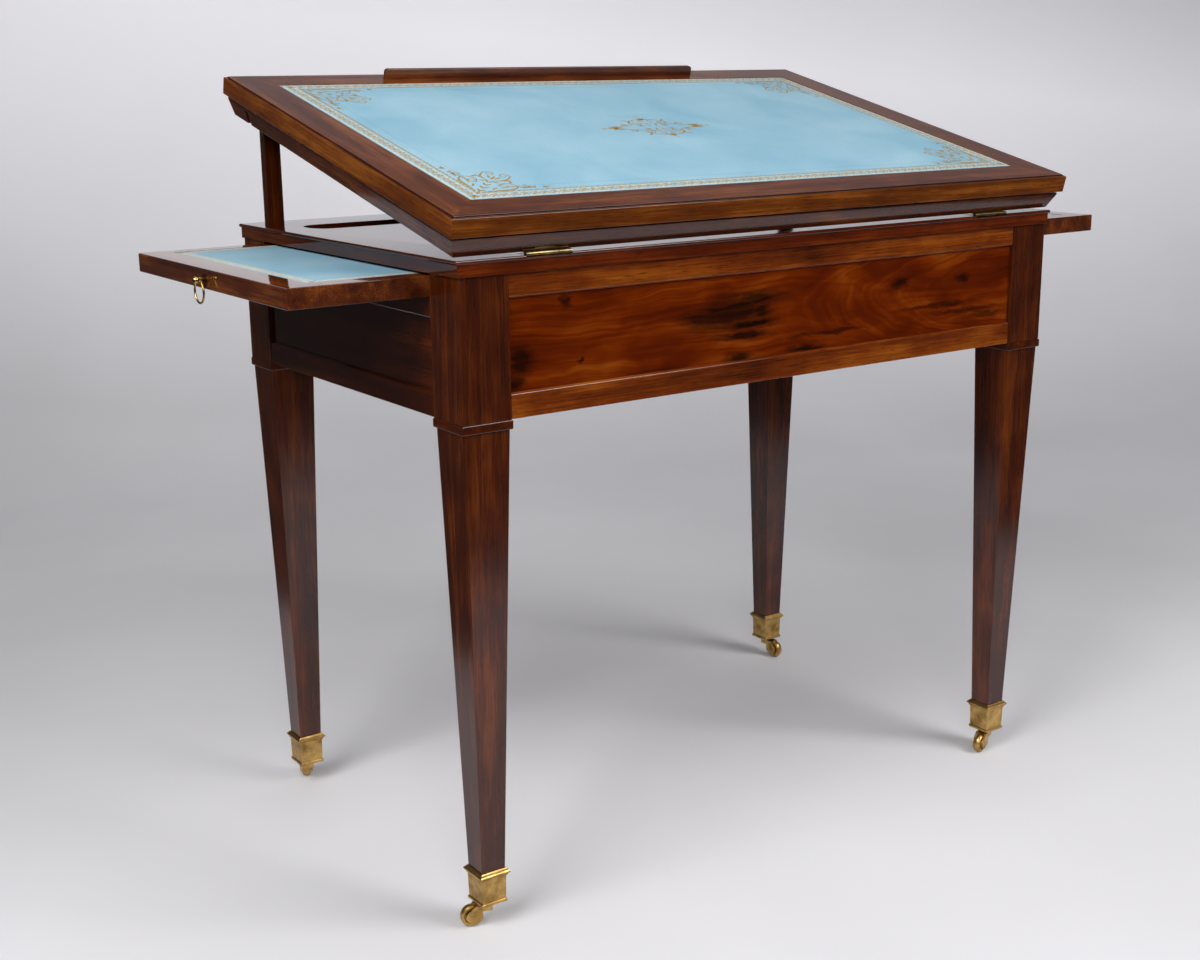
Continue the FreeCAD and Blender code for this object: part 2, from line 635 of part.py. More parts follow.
def hinge_plate(x, fixed):
    """One plate of a butt hinge with its knuckles, laid out about the hinge axis."""
    half = HINGE_L / 2
    mid = KNUCKLE_MID_L / 2
    low = -LEAF_GAP / 2 - HINGE_PLATE_T if fixed else UNDER_Z
    shape = box(x - half, x + half, 0, HINGE_PLATE_W, low, low + HINGE_PLATE_T)
    clear = mid + KNUCKLE_END_GAP
    if fixed:
        spans = [(x - half, x - clear), (x + clear, x + half)]
        gaps = [(x - clear, x + clear)]
        bore = PIN_R
    else:
        spans = [(x - mid, x + mid)]
        gaps = [(x - half, x - mid), (x + mid, x + half)]
        bore = PIN_R + RUNNING_CLEAR
    reach = KNUCKLE_R + KNUCKLE_CLEAR
    for a, b in gaps:
        shape = shape.cut(box(a, b, 0, reach, low, low + HINGE_PLATE_T))
    for a, b in spans:
        barrel, hole = knuckle(a, b, bore)
        shape = shape.fuse(barrel).cut(hole)
    return single(shape)


def at_hinge(shape):
    """Move a shape from the hinge axis to the carcass without raising it."""
    placed = shape.copy()
    placed.translate(V(0, HINGE_Y, HINGE_Z))
    return placed


def hinge_pin(x):
    return Part.makeCylinder(PIN_R, HINGE_L, V(x - HINGE_L / 2, 0, 0), V(1, 0, 0))


# Rising posts


def post_plate(sx):
    """Brass plate let into the outer face of a post, near its head."""
    face = sx * (POST_X + POST_W / 2)
    half = POST_D / 2 - PLATE_MARGIN
    return box(face, face - sx * PLATE_T, POST_Y - half, POST_Y + half, HEAD_Z - PLATE_L, HEAD_Z)


def rising_post(sx):
    """Square post with a half-round head under the leaf."""
    x = sx * POST_X
    half = POST_W / 2
    shaft = box(x - half, x + half, POST_Y - HEAD_R, POST_Y + HEAD_R, POST_FOOT_Z, HEAD_Z)
    head = Part.makeCylinder(HEAD_R, POST_W, V(x - half, POST_Y, HEAD_Z), V(1, 0, 0))
    return single(shaft.fuse(head).cut(post_plate(sx)))


def build():
    """Every node of the table, by name."""
    nodes = {"leg_collars": leg_collars(), "leg_shoes": leg_shoes(), "carcass_top": carcass_top()}
    for corner, (sx, sy) in CORNERS.items():
        nodes[f"leg_{corner}"] = leg(sx, sy)
        nodes[f"fork_{corner}"] = at_caster(caster_fork(), corner)
        nodes[f"axle_{corner}"] = at_caster(caster_axle(), corner)
        nodes[f"wheel_{corner}"] = at_caster(caster_wheel(), corner)
    panel_z0 = APRON_Z + BOTTOM_RAIL_H
    for name, sy in DEPTHS.items():
        nodes[f"{name}_top_rail"] = long_rail(sy, TOP_UNDER - TOP_RAIL_H, TOP_UNDER, False)
        nodes[f"{name}_bottom_rail"] = long_rail(sy, APRON_Z, panel_z0, True)
        nodes[f"{name}_panel"] = long_panel(sy)
    nodes["slide_runners"] = group([slide_runner(-1), slide_runner(1)])
    nodes["slide_stop"] = slide_stop()
    for name, sx in SIDES.items():
        nodes[f"{name}_top_rail"] = side_rail(sx, SLIDE_RAIL_Z - SIDE_RAIL_H, SLIDE_RAIL_Z, False)
        nodes[f"{name}_bottom_rail"] = side_rail(sx, APRON_Z, panel_z0, True)
        nodes[f"{name}_panel"] = side_panel(sx)
        nodes[f"slide_{name}"] = slide_board(sx)
        nodes[f"slide_leather_{name}"] = slide_leather(sx)
        nodes[f"pull_knob_{name}"] = pull_knob(sx)
        nodes[f"pull_ring_{name}"] = pull_ring(sx)
        nodes[f"post_{name}"] = rising_post(sx)
        nodes[f"post_plate_{name}"] = post_plate(sx)
    hinges = [sx * HINGE_X for sx in SIDES.values()]
    nodes["hinge_plates_fixed"] = at_hinge(group([hinge_plate(x, True) for x in hinges]))
    nodes["hinge_pins"] = at_hinge(group([hinge_pin(x) for x in hinges]))
    nodes["hinge_plates_leaf"] = on_leaf(group([hinge_plate(x, False) for x in hinges]))
    for name, shape in underframe().items():
        nodes[f"underframe_{name}"] = on_leaf(shape)
    for name, shape in border().items():
        nodes[f"border_{name}"] = on_leaf(shape)
    leather_top = LEAF_TOP - LEATHER_DROP
    nodes["leaf_core"] = on_leaf(leaf_field(BORDER_Z, leather_top - LEATHER_T))
    nodes["leaf_leather"] = on_leaf(leaf_field(leather_top - LEATHER_T, leather_top))
    nodes["book_ledge"] = on_leaf(book_ledge())
    return nodes


def main():
    os.makedirs("parts", exist_ok=True)
    for name, shape in build().items():
        shape.exportStep(f"parts/{name}.step")


if __name__ == "__main__":
    main()
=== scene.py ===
"""Architect's writing table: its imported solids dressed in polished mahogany, tooled blue leather and brass.

Metres, +Z up, the sitter at -Y. The leaf stands raised, the slides part drawn and the book ledge up.
"""

import json
import math

import bmesh
import bpy
from mathutils import Matrix, Vector


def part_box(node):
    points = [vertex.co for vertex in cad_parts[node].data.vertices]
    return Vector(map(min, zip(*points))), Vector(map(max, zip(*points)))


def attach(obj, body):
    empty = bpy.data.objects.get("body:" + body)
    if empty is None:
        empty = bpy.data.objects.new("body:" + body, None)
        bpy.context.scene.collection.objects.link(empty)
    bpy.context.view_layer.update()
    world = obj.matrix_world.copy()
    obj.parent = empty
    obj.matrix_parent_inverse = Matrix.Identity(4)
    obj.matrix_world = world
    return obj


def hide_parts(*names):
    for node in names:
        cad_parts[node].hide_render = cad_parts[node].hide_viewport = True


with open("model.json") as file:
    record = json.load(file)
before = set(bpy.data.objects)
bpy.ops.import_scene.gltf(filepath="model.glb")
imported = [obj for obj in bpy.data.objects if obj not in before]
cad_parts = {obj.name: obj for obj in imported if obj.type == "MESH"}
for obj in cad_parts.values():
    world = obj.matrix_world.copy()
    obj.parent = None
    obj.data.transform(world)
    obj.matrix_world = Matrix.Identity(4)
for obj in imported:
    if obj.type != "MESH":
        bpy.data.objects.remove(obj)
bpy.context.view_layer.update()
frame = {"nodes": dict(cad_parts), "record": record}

MM = 0.001
RECORD = frame["record"]
JOINTS = {joint["name"]: joint for joint in RECORD["behaviour"]["joints"]}
BODY_OF = {node: body for body, nodes in RECORD["behaviour"]["bodies"].items() for node in nodes}
HINGE = Vector(JOINTS["leaf_tilt"]["pos_m"])
TILT = math.radians(-JOINTS["leaf_tilt"]["range_deg"][0])
LEAF = Matrix.Translation(HINGE) @ Matrix.Rotation(TILT, 4, "X")
LEVEL = Matrix.Identity(4)


def extent(node, place=LEVEL):
    """Lowest and highest corner of a node in a frame of its own."""
    back = place.inverted()
    points = [back @ v.co for v in frame["nodes"][node].data.vertices]
    low = Vector([min(p[i] for p in points) for i in range(3)])
    high = Vector([max(p[i] for p in points) for i in range(3)])
    return low, high


# Materials


def linear(code):
    """Linear colour of an sRGB hex value."""
    parts = [int(code[i:i + 2], 16) / 255 for i in (1, 3, 5)]
    return [c / 12.92 if c <= 0.04045 else ((c + 0.055) / 1.055) ** 2.4 for c in parts] + [1.0]


def add(tree, kind, inputs=None, stops=None, **settings):
    """One node with its settings, its input values or links, and the stops of its ramp."""
    node = tree.nodes.new(kind)
    for name, value in settings.items():
        setattr(node, name, value)
    for socket, value in (inputs or {}).items():
        if isinstance(value, bpy.types.NodeSocket):
            tree.links.new(value, node.inputs[socket])
        else:
            node.inputs[socket].default_value = value
    if stops:
        ramp = node.color_ramp.elements
        while len(ramp) < len(stops):
            ramp.new(0.5)
        for element, (place, code) in zip(ramp, stops):
            element.position = place
            element.color = linear(code)
    return node


def blend(tree, share, first, second):
    """Colour between two colours, at a share of the way."""
    return add(tree, "ShaderNodeMix", {"Factor": share, 6: first, 7: second}, data_type="RGBA").outputs[2]


def start(name, turn=(0, 0, 0), shift=(0, 0, 0)):
    """A new material with its tree, its shader and its coordinates in millimetres."""
    made = bpy.data.materials.new(name)
    made.use_nodes = True
    tree = made.node_tree
    where = tree.nodes.new("ShaderNodeTexCoord").outputs["Object"]
    at = add(tree, "ShaderNodeMapping",
             {"Vector": where, "Rotation": turn, "Location": shift, "Scale": (1000, 1000, 1000)})
    return made, tree, tree.nodes["Principled BSDF"], at.outputs[0]


ALONG_X = (0, 0, 0)
ALONG_Y = (0, 0, -math.pi / 2)
ALONG_Z = (0, math.pi / 2, 0)
LEAF_X = (-TILT, 0, 0)
LEAF_Y = (-TILT, 0, -math.pi / 2)
PORE = "#1a0803"
DYE = "#8db6c9"
THIN_FILM = 0.35


def french_polish(shader, dulled=0.05, film=1.0):
    """Clear shellac film over dull wood: a mirror of the room on top of the soft colour.

    The mirror is sharp unless dulled, and weaker where the film is rubbed thin.
    """
    shader.inputs["Roughness"].default_value = 0.5
    shader.inputs["Specular IOR Level"].default_value = 0.0
    shader.inputs["Coat Weight"].default_value = film
    shader.inputs["Coat Roughness"].default_value = dulled


def polished_mahogany(name, grain, tones, shift=0.0, dulled=0.05):
    """Cuban mahogany, planed and French polished.

    The eye gets long red-brown streaks, a cloudy mottle, short dark pores and a glossy film.
    """
    made, tree, shader, at = start(name, grain, (shift, shift, shift))
    # Broad figure: streaks about 20 mm wide and 320 mm long
    broad_at = add(tree, "ShaderNodeMapping", {"Vector": at, "Scale": (1 / 320, 1 / 20, 1 / 20)}).outputs[0]
    broad = add(tree, "ShaderNodeTexNoise", {"Vector": broad_at, "Scale": 1.0, "Detail": 4.0,
                                             "Roughness": 0.55, "Distortion": 0.6}).outputs[0]
    # Mottle: lighter clouds about 55 mm long across the streaks
    mottle_at = add(tree, "ShaderNodeMapping", {"Vector": at, "Scale": (1 / 55, 1 / 30, 1 / 30)}).outputs[0]
    mottle = add(tree, "ShaderNodeTexNoise", {"Vector": mottle_at, "Scale": 1.0, "Detail": 3.0}).outputs[0]
    # Fibre lines 2 mm wide: real ones are half that, too fine for the picture
    fibre_at = add(tree, "ShaderNodeMapping", {"Vector": at, "Scale": (1 / 70, 1 / 2, 1 / 2)}).outputs[0]
    fibre = add(tree, "ShaderNodeTexNoise", {"Vector": fibre_at, "Scale": 1.0, "Detail": 2.0}).outputs[0]
    figure = add(tree, "ShaderNodeMix", {"Factor": 0.35, "A": broad, "B": mottle}).outputs["Result"]
    streak = add(tree, "ShaderNodeMix", {"Factor": 0.25, "A": figure, "B": fibre}).outputs["Result"]
    colour = add(tree, "ShaderNodeValToRGB", {"Fac": streak},
                 stops=[(0.34, tones[0]), (0.5, tones[1]), (0.66, tones[2])]).outputs[0]
    # Open pores: dark dashes 1.2 mm wide and 18 mm long
    pore_at = add(tree, "ShaderNodeMapping", {"Vector": at, "Scale": (1 / 18, 1 / 1.2, 1 / 1.2)}).outputs[0]
    pore = add(tree, "ShaderNodeTexNoise", {"Vector": pore_at, "Scale": 1.0, "Detail": 1.0}).outputs[0]
    pore = add(tree, "ShaderNodeMapRange",
               {"Value": pore, "From Min": 0.6, "From Max": 0.72, "To Max": 0.5}).outputs[0]
    colour = blend(tree, pore, colour, linear(PORE))
    film = add(tree, "ShaderNodeBump", {"Height": broad, "Strength": 0.06, "Distance": 0.002}).outputs[0]
    tree.links.new(colour, shader.inputs["Base Color"])
    tree.links.new(film, shader.inputs["Coat Normal"])
    french_polish(shader, dulled)
    return made


DARK_TONES = ("#240b04", "#411706", "#602a0b")
LEG_TONES = ("#220a03", "#431907", "#6a320e")
LIP_TONES = ("#340e03", "#521b04", "#76310b")
LIP_END_TONES = ("#270d05", "#431a09", "#653214")
RAIL_TONES = ("#3e1605", "#6b2d09", "#9a5315")
LEAF_TONES = ("#30130a", "#552711", "#87491d")
# Near-black tones for the undercut face under the border's step: painted shade in the groove
PAINTED_SHADE_TONES = ("#0e0402", "#190904", "#261108")
# Lighter tones for the border's upright faces: painted light where the lamps strike them
PAINTED_LIGHT_TONES = ("#3f1c08", "#6b350e", "#9c5b1d")


# Dark knots of the front panel's veneer: middle and half size in millimetres, from the panel's middle
CROTCH = ((-122, 3, 22, 6), (-97, 4, 32, 12), (-70, 8, 32, 14), (-46, 19, 30, 6), (-38, 4, 11, 8),
          (-52, -9, 28, 4), (-64, -20, 28, 3.4), (-72, -45, 14, 4), (28, -45, 18, 3.4))
BURRS = ((-302, 39, 6, 6), (-357, -17, 13, 14), (-366, -39, 10, 7), (-283, -24, 3, 3),
         (180, 17, 10, 6), (287, 15, 10, 5))
STREAKS = ((245, -15, 60, 2.6), (295, -25, 60, 3.4), (330, -34, 32, 3), (60, -30, 60, 2.2))


def flame_mahogany():
    """Crotch-cut mahogany veneer, French polished.

    The eye gets a warm ground with soft golden streaks, nested arcs on the right and dark ragged knots.
    """
    low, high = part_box("front_panel")
    to_middle = [-(a + b) / 2 / MM for a, b in zip(low, high)]
    made, tree, shader, at = start("flame_mahogany", ALONG_X, to_middle)
    # The lines wander by about 20 mm along the panel and 8 mm across it
    drift_at = add(tree, "ShaderNodeMapping", {"Vector": at, "Scale": (1 / 170, 1, 1 / 90)}).outputs[0]
    drift = add(tree, "ShaderNodeTexNoise", {"Vector": drift_at, "Scale": 1.0, "Detail": 3.0}).outputs[1]
    drift = add(tree, "ShaderNodeVectorMath", {0: drift, 1: (0.5, 0.5, 0.5)}, operation="SUBTRACT").outputs[0]
    drift = add(tree, "ShaderNodeVectorMath", {0: drift, 1: (120, 0, 52)}, operation="MULTIPLY").outputs[0]
    bent = add(tree, "ShaderNodeVectorMath", {0: at, 1: drift}, operation="ADD").outputs[0]
    parts = add(tree, "ShaderNodeSeparateXYZ", {0: bent}).outputs
    # Long streaks 7 mm wide
    long_at = add(tree, "ShaderNodeMapping", {"Vector": bent, "Scale": (1 / 230, 1, 1 / 7)}).outputs[0]
    streak = add(tree, "ShaderNodeTexNoise",
                 {"Vector": long_at, "Scale": 1.0, "Detail": 6.0, "Roughness": 0.6}).outputs[0]
    # Nested arcs 16 mm apart that open to the right, from the panel's middle to 300 mm beside it
    rise = add(tree, "ShaderNodeMath", {0: parts["Z"], 1: parts["Z"]}, operation="MULTIPLY").outputs[0]
    rise = add(tree, "ShaderNodeMath", {0: rise, 1: -0.04}, operation="MULTIPLY").outputs[0]
    arc = add(tree, "ShaderNodeMath", {0: parts["X"], 1: rise}, operation="ADD").outputs[0]
    arc_at = add(tree, "ShaderNodeCombineXYZ", {"X": arc, "Z": parts["Z"]}).outputs[0]
    arc_at = add(tree, "ShaderNodeMapping", {"Vector": arc_at, "Scale": (1 / 16, 1, 1 / 90)}).outputs[0]
    arcs = add(tree, "ShaderNodeTexNoise",
               {"Vector": arc_at, "Scale": 1.0, "Detail": 5.0, "Roughness": 0.55}).outputs[0]
    begins = add(tree, "ShaderNodeMapRange", {"Value": arc, "From Min": -60.0, "From Max": 40.0}).outputs[0]
    ends = add(tree, "ShaderNodeMapRange", {"Value": arc, "From Min": 290.0, "From Max": 170.0}).outputs[0]
    share = add(tree, "ShaderNodeMath", {0: begins, 1: ends}, operation="MULTIPLY").outputs[0]
    share = add(tree, "ShaderNodeMath", {0: share, 1: 0.65}, operation="MULTIPLY").outputs[0]
    line = add(tree, "ShaderNodeMix", {"Factor": share, "A": streak, "B": arcs}).outputs[0]
    cloud_at = add(tree, "ShaderNodeMapping", {"Vector": bent, "Scale": (1 / 110, 1, 1 / 45)}).outputs[0]
    cloud = add(tree, "ShaderNodeTexNoise", {"Vector": cloud_at, "Scale": 1.0, "Detail": 3.0}).outputs[0]
    ground = add(tree, "ShaderNodeMix", {"Factor": 0.55, "A": line, "B": cloud}).outputs[0]
    tones = [(0.36, "#431202"), (0.47, "#581b02"), (0.55, "#6b2703"), (0.66, "#86410e")]
    colour = add(tree, "ShaderNodeValToRGB", {"Fac": ground}, stops=tones).outputs[0]
    # Ragged edges: the knots' outlines are pulled about by up to 8 mm along the grain and less across it
    rag_at = add(tree, "ShaderNodeMapping", {"Vector": at, "Scale": (1 / 26, 1, 1 / 8)}).outputs[0]
    rag = add(tree, "ShaderNodeTexNoise",
              {"Vector": rag_at, "Scale": 1.0, "Detail": 5.0, "Roughness": 0.65}).outputs[1]
    rag = add(tree, "ShaderNodeVectorMath", {0: rag, 1: (0.5, 0.5, 0.5)}, operation="SUBTRACT").outputs[0]
    rag = add(tree, "ShaderNodeVectorMath", {0: rag, 1: (34, 0, 15)}, operation="MULTIPLY").outputs[0]
    torn = add(tree, "ShaderNodeVectorMath", {0: at, 1: rag}, operation="ADD").outputs[0]
    # Each kind of mark with its depth of shade, and its edge in half sizes from its middle
    kinds = ((CROTCH, 1.0, 2.0), (BURRS, 0.9, 1.6), (STREAKS, 0.7, 1.5))
    shade = 0.0
    for marks, depth, edge in kinds:
        for x, z, half_x, half_z in marks:
            offset = add(tree, "ShaderNodeVectorMath", {0: torn, 1: (x, 0, z)},
                         operation="SUBTRACT").outputs[0]
            offset = add(tree, "ShaderNodeVectorMath", {0: offset, 1: (half_x, 999, half_z)},
                         operation="DIVIDE").outputs[0]
            reach = add(tree, "ShaderNodeVectorMath", {0: offset}, operation="LENGTH").outputs["Value"]
            dark = add(tree, "ShaderNodeMapRange",
                       {"Value": reach, "From Min": edge, "From Max": 0.6, "To Max": depth}).outputs[0]
            shade = add(tree, "ShaderNodeMath", {0: shade, 1: dark}, operation="MAXIMUM").outputs[0]
    fleck = add(tree, "ShaderNodeMapRange", {"Value": streak, "From Min": 0.66, "From Max": 0.42,
                                             "To Min": 0.85, "To Max": 1.0}).outputs[0]
    shade = add(tree, "ShaderNodeMath", {0: shade, 1: fleck}, operation="MULTIPLY").outputs[0]
    colour = blend(tree, shade, colour, linear(PORE))
    film = add(tree, "ShaderNodeBump", {"Height": line, "Strength": 0.05, "Distance": 0.002}).outputs[0]
    tree.links.new(colour, shader.inputs["Base Color"])
    tree.links.new(film, shader.inputs["Coat Normal"])
    french_polish(shader, film=THIN_FILM)
    return made


def planed_oak(name, grain):
    """Plain planed oak of the hidden inside: dull straw-brown with straight grain."""
    made, tree, shader, at = start(name, grain)
    line_at = add(tree, "ShaderNodeMapping", {"Vector": at, "Scale": (1 / 120, 1 / 3, 1 / 3)}).outputs[0]
    line = add(tree, "ShaderNodeTexNoise", {"Vector": line_at, "Scale": 1.0, "Detail": 4.0}).outputs[0]
    colour = add(tree, "ShaderNodeValToRGB", {"Fac": line},
                 stops=[(0.3, "#5f4526"), (0.5, "#86653d"), (0.7, "#9b7a4d")]).outputs[0]
    bump = add(tree, "ShaderNodeBump", {"Height": line, "Strength": 0.3, "Distance": 0.0004}).outputs[0]
    tree.links.new(colour, shader.inputs["Base Color"])
    tree.links.new(bump, shader.inputs["Normal"])
    shader.inputs["Roughness"].default_value = 0.62
    return made


def dyed_leather(name, dark, light, crease):
    """Thin dyed leather, glued down and waxed: a soft satin with cloudy dye and a fine pebbled grain."""
    made, tree, shader, at = start(name)
    # Dye clouds of 60 to 200 mm
    cloud = add(tree, "ShaderNodeTexNoise", {"Vector": at, "Scale": 1 / 130, "Detail": 4.0,
                                             "Roughness": 0.55, "Distortion": 0.4}).outputs[0]
    colour = add(tree, "ShaderNodeValToRGB", {"Fac": cloud}, stops=[(0.3, dark), (0.7, light)]).outputs[0]
    # Pebbles of 1.6 mm: the real grain is about half of that
    pebble = add(tree, "ShaderNodeTexVoronoi", {"Vector": at, "Scale": 1 / 1.6},
                 feature="SMOOTH_F1").outputs[0]
    fold = add(tree, "ShaderNodeMapRange",
               {"Value": pebble, "From Min": 0.45, "From Max": 0.8, "To Max": 0.2}).outputs[0]
    colour = blend(tree, fold, colour, linear(crease))
    slack = add(tree, "ShaderNodeTexNoise", {"Vector": at, "Scale": 1 / 45, "Detail": 2.0}).outputs[0]
    lie = add(tree, "ShaderNodeBump", {"Height": slack, "Strength": 0.25, "Distance": 0.0008}).outputs[0]
    bump = add(tree, "ShaderNodeBump", {"Height": pebble, "Strength": 0.22, "Distance": 0.0003,
                                        "Normal": lie}, invert=True).outputs[0]
    rough = add(tree, "ShaderNodeMapRange", {"Value": cloud, "To Min": 0.46, "To Max": 0.6}).outputs[0]
    tree.links.new(colour, shader.inputs["Base Color"])
    tree.links.new(rough, shader.inputs["Roughness"])
    tree.links.new(bump, shader.inputs["Normal"])
    return made


def worn_gilding(name, dull, bright, kept_from, metal):
    """Gold leaf pressed into leather with a hot tool: pale metal, rubbed so thin that the dye shows."""
    made, tree, shader, at = start(name)
    # Rubbed spots of 1.5 to 4 mm
    rub = add(tree, "ShaderNodeTexNoise",
              {"Vector": at, "Scale": 1 / 3.2, "Detail": 3.0, "Roughness": 0.65}).outputs[0]
    kept = add(tree, "ShaderNodeMapRange",
               {"Value": rub, "From Min": kept_from, "From Max": kept_from + 0.12}).outputs[0]
    gold = blend(tree, rub, linear(dull), linear(bright))
    colour = blend(tree, kept, linear(DYE), gold)
    shine = add(tree, "ShaderNodeMath", {0: kept, 1: metal}, operation="MULTIPLY").outputs[0]
    tree.links.new(colour, shader.inputs["Base Color"])
    tree.links.new(shine, shader.inputs["Metallic"])
    shader.inputs["Roughness"].default_value = 0.42
    return made


def brass(name, dull, bright, rough, clean_and_lit_from=None):
    """Cast brass: yellow metal with brown tarnish in clouds and fine handling scratches.

    Where a distance from the table's middle is given, the metal is bright only beyond it; nearer the table it
    is darker, partly tarnish out of the hands' reach and partly painted shade where the knob meets the slide.
    """
    made, tree, shader, at = start(name)
    # Tarnish clouds of 4 to 16 mm and pits of 1.5 mm
    tarnish = add(tree, "ShaderNodeTexNoise",
                  {"Vector": at, "Scale": 1 / 16, "Detail": 4.0, "Roughness": 0.6}).outputs[0]
    patch = add(tree, "ShaderNodeMapRange", {"Value": tarnish, "From Min": 0.3, "From Max": 0.66}).outputs[0]
    pits = add(tree, "ShaderNodeTexNoise", {"Vector": at, "Scale": 1 / 1.5, "Detail": 2.0}).outputs[0]
    pits = add(tree, "ShaderNodeMapRange",
               {"Value": pits, "From Min": 0.3, "From Max": 0.5, "To Min": 0.7}).outputs[0]
    patch = add(tree, "ShaderNodeMath", {0: patch, 1: pits}, operation="MULTIPLY").outputs[0]
    # Darker towards the knob's inner end: tarnish and painted shade beside the slide
    if clean_and_lit_from:
        fade = 3.0
        along = add(tree, "ShaderNodeSeparateXYZ", {0: at}).outputs["X"]
        along = add(tree, "ShaderNodeMath", {0: along}, operation="ABSOLUTE").outputs[0]
        clean_and_lit = add(tree, "ShaderNodeMapRange",
                    {"Value": along, "From Min": clean_and_lit_from - fade, "From Max": clean_and_lit_from}).outputs[0]
        patch = add(tree, "ShaderNodeMath", {0: patch, 1: clean_and_lit}, operation="MULTIPLY").outputs[0]
    colour = blend(tree, patch, linear(dull), linear(bright))
    dullness = add(tree, "ShaderNodeMapRange",
                   {"Value": patch, "To Min": rough + 0.14, "To Max": rough}).outputs[0]
    scratch_at = add(tree, "ShaderNodeMapping", {"Vector": at, "Scale": (1 / 0.6, 1 / 0.6, 1 / 7)}).outputs[0]
    scratch = add(tree, "ShaderNodeTexNoise", {"Vector": scratch_at, "Scale": 1.0, "Detail": 2.0}).outputs[0]
    bump = add(tree, "ShaderNodeBump", {"Height": scratch, "Strength": 0.12, "Distance": 0.0002}).outputs[0]
    tree.links.new(colour, shader.inputs["Base Color"])
    tree.links.new(dullness, shader.inputs["Roughness"])
    tree.links.new(bump, shader.inputs["Normal"])
    shader.inputs["Metallic"].default_value = 1.0
    return made


mahogany_rail = polished_mahogany("mahogany_rail", ALONG_X, RAIL_TONES)
mahogany_top = polished_mahogany("mahogany_top", ALONG_X, DARK_TONES, shift=90, dulled=0.12)
mahogany_lip_long = polished_mahogany("mahogany_lip_long", ALONG_X, LIP_TONES, shift=40)
mahogany_lip_short = polished_mahogany("mahogany_lip_short", ALONG_Y, LIP_END_TONES, shift=55)
mahogany_side = polished_mahogany("mahogany_side", ALONG_Y, DARK_TONES, shift=30)
mahogany_slide = polished_mahogany("mahogany_slide", ALONG_Y, LEAF_TONES, shift=75)
mahogany_leg = polished_mahogany("mahogany_leg", ALONG_Z, LEG_TONES, shift=60, dulled=0.17)
mahogany_leaf_long = polished_mahogany("mahogany_leaf_long", LEAF_X, LEAF_TONES, shift=15, dulled=0.18)
mahogany_leaf_short = polished_mahogany("mahogany_leaf_short", LEAF_Y, LEAF_TONES, shift=45, dulled=0.18)
# Painted light: the border's upright faces in a lighter copy of the leaf's mahogany
painted_light_edge_long = polished_mahogany("painted_light_edge_long", LEAF_X, PAINTED_LIGHT_TONES, shift=20)
painted_light_edge_short = polished_mahogany("painted_light_edge_short", LEAF_Y, PAINTED_LIGHT_TONES, shift=50)
# Painted shade: the undercut face under the border's step, near black
painted_shade_quirk = polished_mahogany("painted_shade_quirk", LEAF_X, PAINTED_SHADE_TONES, shift=0, dulled=0.5)
mahogany_flame = flame_mahogany()
oak_long = planed_oak("oak_long", ALONG_X)
oak_cross = planed_oak("oak_cross", ALONG_Y)
leather = dyed_leather("blue_leather", "#7facc2", "#9abfcf", "#5d8ba1")
leather_blind = dyed_leather("blind_tooled_leather", "#6c9ab0", "#83abbd", "#4d7a90")
gilding_pale = worn_gilding("pale_gilding", "#cfcdb4", "#f1ead2", 0.3, 0.1)
gilding_lace = worn_gilding("rubbed_gilding", "#aebfbe", "#dddccb", 0.45, 0.1)
gilding_gold = worn_gilding("gold_tooling", "#8a7c4c", "#cfa557", 0.3, 0.3)
brass_cast = brass("aged_cast_brass", "#8d6c38", "#d6b06c", 0.3)
brass_bright = brass("handled_brass", "#a17a35", "#e0bb62", 0.2)
# Hands reach the knob to 8 mm from its inner end; nearer the slide it is darker with tarnish and painted
# shade
KNOB_SHANK = 8.0
KNOB_CLEAN_AND_LIT = -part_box("pull_knob_left")[1][0] / MM + KNOB_SHANK
brass_knob = brass("knob_brass", "#5e4520", "#e6c168", 0.16, KNOB_CLEAN_AND_LIT)
brass_hinge = brass("hinge_brass", "#54452a", "#ab9566", 0.28)


# Pieces with worn arrises, each a copy of its solid: the wooden ones and the shoes


def link(name, mesh):
    """A new object of a mesh or a curve, at the origin."""
    piece = bpy.data.objects.new(name, mesh)
    bpy.context.scene.collection.objects.link(piece)
    return piece


SHARP = math.radians(28)
UPRIGHT = 0.3
NEARLY_UPRIGHT = 0.6
LEAF_LOW, LEAF_HIGH = extent("border_front", LEAF)[0], extent("border_back", LEAF)[1]
FOOT_LOW, FOOT_HIGH = extent("leg_front_left")
FOOT = Vector([abs(a + b) / 2 for a, b in zip(FOOT_LOW, FOOT_HIGH)])
FOOT_HALF = 14.65 * MM
# Rim of the solid border: its round, and the step above it
ROUND = 4.0 * MM
STEP_UP = 1.5 * MM
STEP_IN = 5.0 * MM
# The undercut that takes the step's place
UNDERCUT_TOP_IN = 3.2 * MM
UNDERCUT_FOOT_IN = 4.2 * MM
UNDERCUT_DEPTH = 0.8 * MM
# Sloping upper face of a shoe's flange, and the groove's upper edge, bed and lower edge as shares of it
FLANGE_SLOPE = 3.5 * MM
FLANGE_OUT = 1.5 * MM
GROOVE_SHARES = (0.42, 0.54, 0.66)
GROOVE_DEPTH = 0.9 * MM
# Distances and angles too small to count
NEAR = 0.05 * MM
WELD = 2e-6
SAME = 1e-6
FLAT = math.radians(0.4)
SQUARE = 0.01


